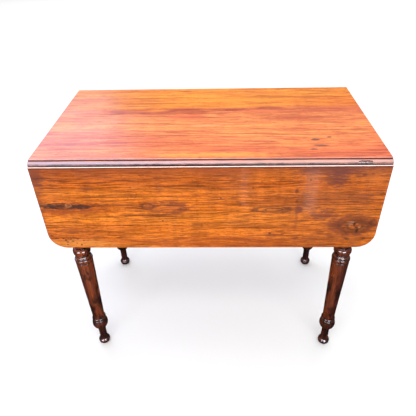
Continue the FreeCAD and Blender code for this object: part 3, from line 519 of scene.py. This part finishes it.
def round_edges(piece, width, segments, test):
    """Round those edges of a piece whose place and way pass a test."""
    choose(piece, "EDGE", test)
    bpy.ops.mesh.bevel(offset=width * MM, segments=segments, affect="EDGES")
    done()


def same(value, target):
    """Whether a measure lies at a target, or at its mirror image."""
    return abs(abs(value) - target) < 0.02


def rod(name, radius, at, length):
    """A round cutter along X, its middle at a place in mm."""
    return begin(
        bpy.ops.mesh.primitive_cylinder_add, name, vertices=48, radius=radius * MM, depth=length * MM,
        location=[a * MM for a in at], rotation=(0, math.pi / 2, 0),
    )


top = block("moulded_top", (-half_length, -lip_half, top_low), (half_length, lip_half, top_high))
bpy.ops.object.mode_set(mode="EDIT")
bpy.ops.mesh.select_all(action="SELECT")
bpy.ops.mesh.bisect(plane_co=(0, 0, lip_low * MM), plane_no=(0, 0, 1))
done()
for side in (-1, 1):
    choose(top, "FACE", lambda at, way: way.y * side > 0.9 and at.z < lip_low)
    bpy.ops.mesh.extrude_region_move(TRANSFORM_OT_translate={"value": (0, side * ovolo_radius * MM, 0)})
    done()
outer = lip_half + ovolo_radius
choose(top, "VERT", lambda at, way: same(at.y, outer) and same(at.z, top_low))
bpy.ops.transform.resize(value=(1, ovolo_foot / outer, 1))
done()
round_edges(
    top, ovolo_radius - bevel_spare, 14,
    lambda at, way: same(at.y, outer) and same(at.z, lip_low) and abs(way.x) > 0.9,
)
round_edges(top, top_arris, 4, lambda at, way: same(at.z, top_high))
round_edges(
    top, end_arris, 2,
    lambda at, way: same(at.x, half_length) and abs(way.x) < 0.1 and at.z < end_arris_below,
)

gains = []
for side in (-1, 1):
    for x in hinge_places:
        wide = (x - hinge_half, x + hinge_half)
        for name, near_y, far_y, high in gain_shapes:
            low_y, high_y = sorted((side * near_y, side * far_y))
            gains.append(block(name, (wide[0], low_y, gain_low), (wide[1], high_y, high)))
        gains.append(rod("trough_round", knuckle_room, (x, side * axis_y, axis_z), 2 * hinge_half))
cut(top, gains)

chip_length, chip_width, chip_depth, chip_flare = 33, 7, 15, (1.06, 1.3, 1)
chip_lean, chip_ragged = 50, 0.7
chip = begin(bpy.ops.mesh.primitive_circle_add, "chip", vertices=18, radius=0.5, fill_type="NGON")
chip.scale = (chip_length * MM, chip_width * MM, 1)
bpy.ops.object.transform_apply(scale=True)
bpy.ops.object.mode_set(mode="EDIT")
bpy.ops.mesh.select_all(action="SELECT")
bpy.ops.mesh.extrude_region_move(TRANSFORM_OT_translate={"value": (0, 0, chip_depth * MM)})
bpy.ops.transform.resize(value=chip_flare)
bpy.ops.mesh.select_all(action="SELECT")
bpy.ops.transform.vertex_random(offset=chip_ragged * MM, seed=5)
bpy.ops.mesh.normals_make_consistent(inside=False)
done()
chip.rotation_euler = (math.radians(chip_lean), 0, 0)
chip.location = (hinge_places[-1] * MM, -axis_y * MM, axis_z * MM)
bpy.ops.object.transform_apply(location=True, rotation=True)


def pit(name, at, reach):
    """A small rounded cutter at a place in mm, with its reach along X, Y and Z."""
    piece = begin(bpy.ops.mesh.primitive_ico_sphere_add, name, subdivisions=2, radius=MM)
    piece.scale = reach
    piece.location = [a * MM for a in at]
    bpy.ops.object.transform_apply(location=True, rotation=True, scale=True)
    return piece


splinter_y, splinter_z, splinter_depth = -241.6, 720.4, 1.3
# Each splinter: its place along X, length and height
splinters = (
    (-408, 22, 1.9), (-372, 12, 1.4), (-118, 9, 1.2), (58, 14, 1.5), (189, 19, 2.2), (238, 8, 1.2),
)
breaks = [chip]
for x, long, tall in splinters:
    breaks.append(pit("splinter", (x, splinter_y, splinter_z), (long, splinter_depth, tall)))
cut(top, breaks)
smooth(top)

SMOKED, STAINED, FLUSHED = (0.4, 0.075, 0.035), (0.09, 0.045, 0.045), (0.56, 0.1, 0.05)
# Each mark: its place along X and Y, reach along X and Y, raggedness, share and colour
top_marks = [
    (239, 1, 105, 24, 0.9, 0.5, SMOKED), (244, -70, 85, 15, 0.9, 0.45, SMOKED),
    (221, -129, 75, 10, 0.9, 0.4, SMOKED), (139, -143, 65, 8, 0.9, 0.35, SMOKED),
    (-329, -114, 90, 10, 0.9, 0.4, FLUSHED), (-174, -127, 70, 9, 0.9, 0.4, FLUSHED),
    (-99, -88, 30, 6, 0.7, 0.75, SMOKED), (-40, -86, 70, 6, 0.9, 0.5, SMOKED),
    (-70, 10, 75, 22, 0.9, 0.5, FLUSHED), (-307, -105, 46, 5, 0.8, 0.4, SMOKED),
    (-243, -137, 40, 7, 0.9, 0.45, FLUSHED), (128, -99, 50, 7, 0.9, 0.4, SMOKED),
    (200, -14, 42, 8, 0.8, 0.4, SMOKED), (258, -14, 46, 9, 0.8, 0.5, SMOKED),
    (242, -71, 38, 6, 0.8, 0.45, SMOKED), (341, -101, 42, 6, 0.8, 0.5, SMOKED),
    (211, -134, 40, 6, 0.8, 0.45, SMOKED), (406, 33, 26, 6, 0.8, 0.4, SMOKED),
    (161, -145, 9, 4, 0.6, 0.5, STAINED), (300, 40, 130, 18, 0.9, 0.45, SMOKED),
    (150, 44, 90, 14, 0.9, 0.4, FLUSHED), (-62, 37, 75, 13, 0.7, 0.7, (0.3, 0.045, 0.022)),
    (-40, 22, 34, 8, 0.7, 0.5, SMOKED), (23, -214, 210, 15, 0.9, 0.5, (0.86, 0.34, 0.06)),
    (-11, -47, 60, 7, 0.8, 0.35, (0.9, 0.44, 0.22)), (60, 130, 300, 26, 0.9, 0.4, (0.86, 0.33, 0.035)),
    (120, 185, 240, 14, 0.9, 0.3, FLUSHED), (268, -137, 15, 8, 0.6, 0.85, STAINED),
    (308, -124, 9, 7, 0.6, 0.75, STAINED), (278, -169, 26, 7, 0.6, 0.8, STAINED),
    (257, -188, 12, 6, 0.6, 0.7, STAINED), (356, -168, 30, 9, 0.9, 0.5, SMOKED),
    (-340, 175, 4, 4, 0.5, 0.6, STAINED),
]
# The dark line of figure: its places along X and Y
figure_run = [
    (-435, 57), (-287, 46), (-150, 39), (-87, 54), (-22, 46), (21, 52), (184, 65), (398, 62), (435, 64),
]
TOP_AMBER = ((0.84, 0.285, 0.075), (0.7, 0.158, 0.06), (0.28, 0.046, 0.028))
# The first colour is dirt with painted shade for the quirk and the joints; the other two are worn polish
# with painted sheen.
DIRT_AND_PAINTED_SHADE, PAINTED_LAVENDER_SHEEN, PINK_SHEEN_ON_WORN_POLISH = (0.02, 0.009, 0.011), (0.36, 0.32, 0.43), (0.46, 0.28, 0.25)
FIGURE_LINE, BARE_BOARD, END_GRAIN = (0.25, 0.04, 0.024), (0.2, 0.085, 0.04), (0.3, 0.066, 0.02)
# The middle tint, pink, is painted sheen for the left end of the top.
AMBER_TINT, PAINTED_PINK_SHEEN, RUDDY_TINT = (1.0, 1.06, 0.45), (0.98, 0.97, 1.2), (1.0, 0.94, 1.0)
top_coat, board_specular, curve_middle = 0.5, 0.2, 0.5


def marked(tree, place, tone, marks, flat):
    """Lay marks over a tone, each with two places and two reaches in mm, raggedness, share and colour.

    A value after the colour makes the mark hollow. Flat marks lie on a level board, others on a hung one.
    """
    for first, second, wide, tall, ragged, share, colour, *hollow in marks:
        at, reach = (first, 0, second), (wide, None, tall)
        if flat:
            at, reach = (first, second, 0), (wide, tall, None)
        tone = blend(tree, near(tree, place, at, reach, ragged, share, *hollow), tone, colour)
    return tone


def dry_side(tree, shader, tone, figure, hidden, coat):
    """Leave the hidden side as the plane left it: brown, dull and without a coat."""
    dull = blend(tree, 0.8, figure["Color"], BARE_BOARD)
    shine = arithmetic(tree, "MULTIPLY_ADD", hidden, -coat, coat)
    tree.links.new(shine, shader.inputs["Coat Weight"])
    return blend(tree, hidden, tone, dull)


def sawn_ends(tree, x, tone, figure):
    """Darken the two ends, where the open grain has drunk in more polish."""
    end = ramp(tree, arithmetic(tree, "ABSOLUTE", x), 433.7 * MM, 434.9 * MM)
    return blend(tree, end, tone, blend(tree, 0.6, figure["Color"], END_GRAIN))


def make_top_polish():
    """Amber polish behind a dark line of figure; painted pink sheen at the left, painted sheen on the
    worn mouldings, and painted shade with dirt in the quirk and joint.
    """
    material, tree, shader, place = bare_material("top_polish")
    broad = vectors(tree, "MULTIPLY", place, (0.6, 0.6, 0.6))
    figure = figure_in(
        tree, broad, TOP_AMBER,
        bands=0.9, streaks=0.55, hairs=0.6, pores=0.5, wave=0.03, smoke=0.4, ripple=0.1,
    )
    x, y, z = add_node(tree, "SeparateXYZ", {0: place}).outputs
    # A curve node runs from 0 to 1, so the middle of the table lies at 0.5 on it
    run = add_node(tree, "FloatCurve", {"Value": arithmetic(tree, "ADD", x, curve_middle)})
    points = run.mapping.curves[0].points
    for at, across in figure_run[1:-1]:
        points.new(at * MM + curve_middle, across * MM + curve_middle)
    for point, (at, across) in ((points[0], figure_run[0]), (points[-1], figure_run[-1])):
        point.location = (at * MM + curve_middle, across * MM + curve_middle)
    run.mapping.update()
    wander = arithmetic(tree, "SUBTRACT", stretched_noise(tree, place, (9, 20, 20), 3).outputs[0], 0.5)
    off_line = arithmetic(tree, "SUBTRACT", arithmetic(tree, "ADD", y, curve_middle), run.outputs[0])
    off_line = arithmetic(tree, "MULTIPLY_ADD", wander, 0.03, off_line)
    behind = ramp(tree, off_line, -0.002, 0.03)
    tone = blend(tree, behind, figure["Color"], AMBER_TINT, "MULTIPLY")
    # Pinker towards the left end: painted sheen, standing in for part of a lamp's reflection.
    tone = blend(tree, ramp(tree, x, -100 * MM, -450 * MM), tone, PAINTED_PINK_SHEEN, "MULTIPLY")
    tone = blend(tree, ramp(tree, x, 200 * MM, 450 * MM), tone, RUDDY_TINT, "MULTIPLY")
    off_line = arithmetic(tree, "ABSOLUTE", off_line)
    beside = arithmetic(tree, "MULTIPLY", ramp(tree, off_line, 0.03, 0.0), 0.25)
    tone = blend(tree, beside, tone, SMOKED)
    frayed = stretched_noise(tree, place, (6, 90, 90), 5, 0.62).outputs[0]
    frayed = arithmetic(tree, "MULTIPLY_ADD", arithmetic(tree, "SUBTRACT", frayed, 0.5), 0.06, off_line)
    patchy = ramp(tree, stretched_noise(tree, place, (11, 3, 3), 3).outputs[0], 0.3, 0.6)
    patchy = arithmetic(tree, "MULTIPLY_ADD", patchy, 0.5, 0.35)
    patchy = arithmetic(tree, "MULTIPLY", patchy, ramp(tree, x, -370 * MM, -240 * MM))
    patchy = arithmetic(tree, "MULTIPLY", patchy, ramp(tree, x, 500 * MM, 150 * MM))
    line = arithmetic(tree, "MULTIPLY", ramp(tree, frayed, 0.014, 0.001), patchy)
    tone = blend(tree, line, tone, FIGURE_LINE)
    tone = marked(tree, place, tone, top_marks, flat=True)
    folded = vectors(tree, "ABSOLUTE", place)
    # Pale colour for the ovolo and the lip's arris: worn polish with painted sheen, lavender at the left
    # and pink further right.
    sheen_on_worn_polish = blend(tree, ramp(tree, x, -460 * MM, 200 * MM), PAINTED_LAVENDER_SHEEN, PINK_SHEEN_ON_WORN_POLISH)
    # The ovolo and the lip's arris get that pale colour; the quirk and the foot of the ovolo in the joint
    # with the leaf get dirt with painted shade.
    for at, reach, ragged, share, colour in (
        ((0, 238.6, 728.6), (None, 7, 6), 0.2, 0.9, sheen_on_worn_polish),
        ((0, 230.4, 735), (None, 2.2, 2.2), 0.5, 0.6, sheen_on_worn_polish),
        ((0, 231.6, 732), (None, 2.8, 2.4), 0.3, 0.95, DIRT_AND_PAINTED_SHADE),
        ((0, 242, 720), (None, 6, 10), 0.45, 0.98, DIRT_AND_PAINTED_SHADE),
    ):
        tone = blend(tree, near(tree, folded, at, reach, ragged, share), tone, colour)
    tone = sawn_ends(tree, x, tone, figure)
    tone = dry_side(tree, shader, tone, figure, ramp(tree, z, 717.8 * MM, 717.2 * MM), top_coat)
    polish(tree, shader, tone, figure, top_coat, 0.33)
    shader.inputs["Specular IOR Level"].default_value = board_specular
    return material


top.data.materials.append(make_top_polish())
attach(top, "frame")
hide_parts("top_board")

# Leaves: two mahogany boards that hang from the hinges, with a cove run along the upper edge to close
# over the ovolo, two rounded lower corners, and beds let into the inner face for the hinge plates.
leaf_inner, leaf_outer, leaf_low, leaf_high = 227, 245, 467, 720.6
corner_radius, cove_radius, outer_arris, inner_arris = 46, 10.9, 1.3, 0.8
cove_over, past_end, past_face = 730, 10, 3
bed_inner, bed_outer, bed_low = 226.4, 229.1, 676.4


def make_leaf(name, side):
    """A leaf hung on one side, with its corners and arrises rounded and its cove and hinge beds cut."""
    low_y, high_y = sorted((side * leaf_inner, side * leaf_outer))
    leaf = block(name, (-half_length, low_y, leaf_low), (half_length, high_y, leaf_high))
    round_edges(
        leaf, corner_radius, 18,
        lambda at, way: same(at.x, half_length) and same(at.z, leaf_low) and abs(way.y) > 0.9,
    )
    round_edges(leaf, outer_arris, 4, lambda at, way: same(at.y, leaf_outer) and abs(way.y) < 0.1)
    round_edges(
        leaf, inner_arris, 2,
        lambda at, way: same(at.y, leaf_inner) and abs(way.y) < 0.1 and not same(at.z, leaf_high),
    )
    low_y, high_y = sorted((side * (leaf_inner - past_face), side * axis_y))
    end_x = half_length + past_end
    hollows = [
        rod("cove", cove_radius, (0, side * axis_y, axis_z), 2 * end_x),
        block("cove_inside", (-end_x, low_y, axis_z - cove_radius), (end_x, high_y, cove_over)),
    ]
    low_y, high_y = sorted((side * bed_inner, side * bed_outer))
    for x in hinge_places:
        hollows.append(block("bed", (x - hinge_half, low_y, bed_low), (x + hinge_half, high_y, axis_z)))
    cut(leaf, hollows)
    return leaf


LEAF_AMBER = ((0.86, 0.225, 0.018), (0.58, 0.118, 0.008), (0.09, 0.018, 0.003))
BURNT, SHADED, PALE = (0.08, 0.022, 0.012), (0.2, 0.045, 0.016), (0.76, 0.27, 0.05)
RUDDY, SMOKY, SOOTY = (0.3, 0.055, 0.014), (0.13, 0.032, 0.022), (0.045, 0.024, 0.018)
# The last colour here is a painted highlight on the worn upper lip of the leaf.
BLACKENED, ASHEN, PAINTED_HIGHLIGHT_ON_WORN_EDGE = (0.025, 0.012, 0.01), (0.5, 0.31, 0.2), (0.95, 0.74, 0.68)
JOINT_SHADE, SHADED_TINT = (0.19, 0.036, 0.014), (0.84, 0.8, 0.74)
leaf_coat, dent_depth, dent_rim, knot_pull = 0.4, 0.7, 1.2, 0.85
# Each mark: its place along X and Z, reach along X and Z, raggedness, share, colour and, in rings, hollow
front_marks = [
    (350, 600, 210, 230, 0.7, 0.16, SHADED), (320, 500, 130, 32, 0.9, 0.35, SHADED),
    (-345, 484, 120, 18, 0.7, 0.55, PALE), (40, 488, 260, 36, 0.9, 0.5, RUDDY),
    (-424, 690, 26, 34, 0.8, 0.55, SMOKY), (-124, 662, 12, 34, 1.2, 0.35, SHADED),
    (-352, 601, 130, 28, 0.9, 0.6, RUDDY), (-366, 607, 84, 15, 0.9, 0.7, BURNT),
    (-404, 608, 44, 11, 0.9, 0.85, SOOTY), (-430, 610, 18, 5, 0.9, 0.7, SOOTY),
    (-332, 605, 46, 9, 0.9, 0.8, SOOTY), (-296, 611, 44, 4, 0.9, 0.6, BURNT),
    (-235, 609, 75, 3, 0.6, 0.6, BURNT), (-396, 586, 48, 8, 0.8, 0.55, RUDDY),
    (-359, 610, 7, 5.5, 0.3, 0.7, RUDDY), (-359, 610, 11, 8.5, 0.4, 0.7, (0.5, 0.24, 0.1), 0.62),
    (-160, 577, 80, 2.4, 0.6, 0.65, BURNT), (-215, 575.6, 12, 3.2, 0.6, 0.75, BURNT),
    (-270, 558.6, 20, 2.2, 0.6, 0.65, BURNT), (-122, 559, 4, 3.5, 0.5, 0.85, BURNT),
    (-158, 606, 24, 14, 0.5, 1.05, BURNT, 0.64), (-90, 600, 60, 18, 0.9, 0.4, RUDDY),
    (-104, 609, 34, 5, 0.8, 0.75, BURNT), (-66, 596, 24, 4, 0.6, 0.7, BURNT),
    (-110, 602, 70, 26, 0.6, 1.3, SHADED, 0.66), (-359, 528, 60, 9, 0.8, 0.5, SHADED),
    (-200, 490, 130, 12, 0.9, 0.4, RUDDY), (17, 626, 32, 2, 0.5, 0.65, BURNT),
    (29, 631, 3.4, 3.4, 0.5, 0.85, BURNT), (50, 552.6, 66, 2.2, 0.5, 0.75, BURNT),
    (158, 594, 64, 14, 0.4, 1.6, BURNT, 0.75), (160, 593, 36, 7, 0.4, 1.6, BURNT, 0.7),
    (216, 649, 6, 12, 0.7, 0.7, BURNT), (219, 619, 6, 7, 0.7, 0.6, BURNT),
    (226, 592, 13, 15, 1.3, 0.75, SMOKY), (222, 575, 5, 105, 0.9, 0.45, SHADED),
    (228, 500, 9, 6, 0.7, 0.55, BURNT), (285, 578, 52, 26, 1.3, 0.6, SMOKY),
    (312, 690, 32, 44, 1.3, 0.75, SMOKY), (300, 712, 120, 22, 0.9, 0.65, SMOKY),
    (40, 708, 130, 14, 0.9, 0.45, RUDDY), (372, 696, 9, 6, 0.6, 0.65, BURNT),
    (384, 634, 26, 14, 0.9, 0.55, SHADED), (329, 547, 17, 15, 1.3, 0.75, BURNT),
    (362, 540, 84, 44, 1.2, 0.38, SHADED), (372, 541, 80, 46, 0.5, 1.2, SHADED, 0.66),
    (374, 540, 56, 32, 0.45, 1.2, BURNT, 0.68), (376, 540, 32, 19, 0.4, 1.15, BURNT, 0.66),
    (363, 547, 10, 5, 1.4, 0.22, ASHEN), (369, 553, 9, 3, 1.4, 0.35, ASHEN),
    (388, 536, 6, 3, 1.4, 0.3, ASHEN), (405, 498, 7, 6, 0.7, 0.6, BURNT),
    (374, 546, 5, 9, 1.2, 0.85, BLACKENED), (380, 535, 7, 4, 1.2, 0.8, BLACKENED),
    (383, 526, 5, 10, 1.2, 0.85, BLACKENED), (421, 551, 14, 14, 0.5, 1.0, BURNT, 0.6),
    (421, 551, 7, 7, 0.5, 0.9, BURNT, 0.5), (363, 498, 9, 7, 0.7, 0.65, BURNT),
    (157, 516, 5.5, 4.5, 0.6, 0.85, BLACKENED), (157, 508, 26, 14, 0.9, 0.35, SHADED),
    (-434, 690, 30, 70, 0.8, 0.6, SHADED), (-436, 600, 14, 110, 0.8, 0.5, SHADED),
    (108, 660, 3.5, 3.5, 0.6, 0.7, BURNT), (246, 682, 4, 4, 0.6, 0.75, BURNT),
    (-405, 690, 46, 4, 0.8, 0.6, BURNT), (-300, 660, 20, 5, 0.9, 0.4, SHADED),
]
rear_marks = [
    (210, 560, 120, 20, 0.7, 0.5, RUDDY), (205, 562, 44, 8, 0.7, 0.7, BURNT),
    (205, 564, 13, 10, 0.4, 0.7, BURNT, 0.6), (-160, 640, 70, 12, 0.9, 0.4, SHADED),
    (-300, 520, 30, 5, 0.9, 0.5, BURNT), (60, 600, 4, 3, 0.6, 0.7, BURNT),
    (330, 655, 4, 3, 0.6, 0.7, BURNT), (-160, 641, 40, 10, 0.5, 0.5, BURNT, 0.72),
    (300, 500, 120, 30, 0.9, 0.35, SMOKY),
]
# Each dent and each knot: its place along X and Z, and its reach along X and Z
dents = (
    (-413, 501.3, 7, 1.5), (-390, 494, 2, 5), (-386, 488, 4, 1.6), (-372, 491, 4, 1.4),
    (-357, 497.8, 3, 1.3), (-350, 478, 2.2, 3), (-396, 500, 3, 1.3), (-388, 479, 1.6, 2.4),
    (-376, 498, 2.4, 1.2), (-342, 493, 2.6, 1.2), (-425, 511, 3, 1.2), (-362, 484, 2, 1.2),
)


def make_knot():
    """Grain that parts round a knot: how far a place is drawn towards the knot across the grain."""
    tree, given, made = group_of("knot", {
        "Place": "vector", "At": "vector", "Weight": "vector", "Pull": "value",
    }, {"Shift": "value"})
    away = vectors(tree, "SUBTRACT", given["Place"], given["At"])
    weighed = vectors(tree, "MULTIPLY", away, given["Weight"])
    distance = add_node(tree, "VectorMath", {0: weighed}, operation="LENGTH").outputs["Value"]
    pull = arithmetic(tree, "MULTIPLY", ramp(tree, distance, 1.0, 0.0), given["Pull"])
    across = arithmetic(tree, "MULTIPLY", add_node(tree, "SeparateXYZ", {0: away}).outputs["Z"], -1.0)
    tree.links.new(arithmetic(tree, "MULTIPLY", across, pull), made["Shift"])
    return tree


knot = make_knot()


def make_leaf_polish(name, marks, knots):
    """Amber polish whose grain parts round the knots, with painted shade under the joint and in the cove,
    a painted highlight on the worn lip, marks and wear.
    """
    material, tree, shader, place = bare_material(name)
    shift = 0.0
    for at_x, at_z, wide, tall in knots:
        group = add_node(tree, "Group", {"Place": place}, node_tree=knot)
        group.inputs["At"].default_value = (at_x * MM, 0, at_z * MM)
        group.inputs["Weight"].default_value = (1 / (wide * MM), 0, 1 / (tall * MM))
        group.inputs["Pull"].default_value = knot_pull
        shift = arithmetic(tree, "ADD", group.outputs["Shift"], shift)
    parted = vectors(tree, "ADD", place, add_node(tree, "CombineXYZ", {2: shift}).outputs[0])
    figure = figure_in(
        tree, parted, LEAF_AMBER,
        bands=0.9, streaks=0.52, hairs=0.66, pores=0.55, wave=0.03, smoke=0.42, ripple=0.16,
    )
    x, y, z = add_node(tree, "SeparateXYZ", {0: place}).outputs
    shade = arithmetic(tree, "MULTIPLY", ramp(tree, z, 672 * MM, 715 * MM), 0.6)
    tone = blend(tree, shade, figure["Color"], JOINT_SHADE)
    tone = blend(tree, ramp(tree, x, 50 * MM, 300 * MM), tone, SHADED_TINT, "MULTIPLY")
    tone = marked(tree, place, tone, marks, flat=False)
    folded = vectors(tree, "ABSOLUTE", place)
    # Dirt with painted shade in the cove, a dark line just under the upper outer arris, a painted
    # highlight on the worn upper lip, and a pale worn lower edge.
    for at, reach, ragged, share, colour in (
        ((0, 236, 717), (None, 8.5, 8.5), 0.2, 0.95, DIRT_AND_PAINTED_SHADE),
        ((0, 245.2, 717.6), (None, 1.2, 2.2), 0.3, 0.8, BURNT),
        ((0, 244, 720.8), (None, 2.6, 1.6), 0.3, 0.95, PAINTED_HIGHLIGHT_ON_WORN_EDGE),
        ((0, 245, 466.5), (None, 2, 2), 0.5, 0.5, PALE),
    ):
        tone = blend(tree, near(tree, folded, at, reach, ragged, share), tone, colour)
    tone = sawn_ends(tree, x, tone, figure)
    inner = ramp(tree, arithmetic(tree, "ABSOLUTE", y), 228 * MM, 227.4 * MM)
    tone = dry_side(tree, shader, tone, figure, inner, leaf_coat)
    polish(tree, shader, tone, figure, leaf_coat, 0.1)
    shader.inputs["Specular IOR Level"].default_value = board_specular
    return material


for x, z, long, tall in dents:
    front_marks.append((x, z, long + dent_rim, tall + dent_rim, 0.4, 0.85, BLACKENED))
front_knots = [(-359, 610, 80, 30), (376, 540, 60, 42), (-150, 608, 50, 24), (421, 551, 22, 22)]
rear_knots = [(205, 562, 70, 30), (-160, 640, 60, 26)]
leaf_polish = {
    "front": make_leaf_polish("front_leaf_polish", front_marks, front_knots),
    "rear": make_leaf_polish("rear_leaf_polish", rear_marks, rear_knots),
}
for side, word in ((-1, "front"), (1, "rear")):
    leaf = make_leaf(f"coved_leaf_{word}", side)
    if word == "front":
        pits = [pit("dent", (x, -leaf_outer, z), (long, dent_depth, tall)) for x, z, long, tall in dents]
        cut(leaf, pits)
    smooth(leaf)
    leaf.data.materials.append(leaf_polish[word])
    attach(leaf, f"{word}_leaf")
    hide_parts(f"{word}_leaf")

# Studio: a plain pale paper floor under a soft white sky that is brightest overhead, with a lamp above,
# windows in front, lights behind, lamps that show only in the polish, and a camera where the photograph
# was taken.
floor = begin(bpy.ops.mesh.primitive_plane_add, "studio_floor", size=80)
paper = bpy.data.materials.new("studio_paper")
paper.use_nodes = True
shader = paper.node_tree.nodes["Principled BSDF"]
shader.inputs["Base Color"].default_value = (0.72, 0.72, 0.72, 1)
shader.inputs["Roughness"].default_value = 0.9
shader.inputs["Specular IOR Level"].default_value = 0
floor.data.materials.append(paper)
floor.visible_glossy = False

sky_low, sky_overhead, gloss_loss = 0.35, 1.3, 0.75
world = bpy.data.worlds.new("studio")
world.use_nodes = True
tree = world.node_tree
height = add_node(tree, "SeparateXYZ", {0: add_node(tree, "TexCoord").outputs["Generated"]}).outputs["Z"]
sky = add_node(tree, "MapRange", {"Value": height, "To Min": sky_low, "To Max": sky_overhead})
above = arithmetic(tree, "GREATER_THAN", height, 0.0)
paths = add_node(tree, "LightPath").outputs
dimmed = arithmetic(tree, "MULTIPLY_ADD", paths["Is Glossy Ray"], -gloss_loss, 1.0)
strength = arithmetic(tree, "MULTIPLY", arithmetic(tree, "MULTIPLY", sky.outputs[0], above), dimmed)
seen = paths["Is Camera Ray"]
unseen = arithmetic(tree, "SUBTRACT", 1.0, seen)
strength = arithmetic(tree, "MULTIPLY_ADD", strength, unseen, seen)
tree.links.new(strength, tree.nodes["Background"].inputs["Strength"])
tree.nodes["Background"].inputs["Color"].default_value = (1, 1, 1, 1)
bpy.context.scene.world = world

WHITE, PALE_BLUE, SKY_BLUE = (1, 1, 1), (0.86, 0.86, 1), (0.62, 0.64, 1)


def soft_light(name, place, aim, size, power, tint=WHITE):
    """A rectangular lamp at a place in metres, turned towards an aim and hidden from the camera."""
    lamp = bpy.data.lights.new(name, "AREA")
    lamp.shape = "RECTANGLE"
    lamp.size, lamp.size_y = size
    lamp.energy, lamp.color = power, tint
    holder = bpy.data.objects.new(name, lamp)
    bpy.context.scene.collection.objects.link(holder)
    holder.location = place
    holder.rotation_euler = (Vector(aim) - Vector(place)).to_track_quat("-Z", "Y").to_euler()
    holder.visible_camera = False
    return holder


soft_light("overhead", (0, 0.3, 2.7), (0, 0, 0.73), (2.2, 1.4), 20)
soft_light("front_window", (0, -1.6, 2.5), (0, -0.2, 0.73), (2.8, 0.8), 36)
soft_light("low_window", (0, -2.4, 1.05), (0, -0.2, 0.5), (4.4, 0.6), 26).visible_glossy = False
soft_light("backdrop_light", (0, 4.2, 3), (0, 4.2, 0), (8, 2.5), 130).visible_glossy = False
soft_light("back_left", (-1.45, 1.3, 1.85), (-0.4, -0.1, 0.73), (1.9, 1.0), 16, SKY_BLUE)
for name, place, aim, size, power, tint in (
    ("left_glint", (-1.0, -1.7, 0.5), (-0.37, -0.2, 0.1), (0.9, 0.3), 12, PALE_BLUE),
    ("right_glint", (0.6, -1.7, 0.5), (0.37, -0.2, 0.1), (0.9, 0.3), 12, PALE_BLUE),
    ("narrow_pane", (0.127, -0.9, 0.23), (0.127, 0, 0.23), (0.02, 0.2), 0.03, WHITE),
    ("broad_pane", (0.415, -0.9, 0.21), (0.415, 0, 0.21), (0.05, 0.22), 0.11, WHITE),
):
    soft_light(name, place, aim, size, power, tint).visible_diffuse = False

photo_width, focal_pixels, centre_pixels = 416, 426.05, (-2.74, -1.0)
eye_place, eye_turn = (0.0312, -1.1181, 1.2343), (1.833, 35.852, 1.328)
eye = bpy.data.cameras.new("photo_camera")
camera = bpy.data.objects.new("photo_camera", eye)
bpy.context.scene.collection.objects.link(camera)
eye.sensor_width = 36
eye.lens = focal_pixels / photo_width * eye.sensor_width
eye.shift_x, eye.shift_y = [offset / photo_width for offset in centre_pixels]
yaw, pitch, roll = [math.radians(angle) for angle in eye_turn]
turn = Matrix.Rotation(yaw, 4, "Z") @ Matrix.Rotation(-pitch, 4, "X") @ Matrix.Rotation(roll, 4, "Y")
turn = turn @ Matrix.Rotation(math.pi / 2, 4, "X")
camera.matrix_world = Matrix.Translation(eye_place) @ turn
bpy.context.scene.camera = camera
bpy.context.scene.view_settings.view_transform = "Standard"
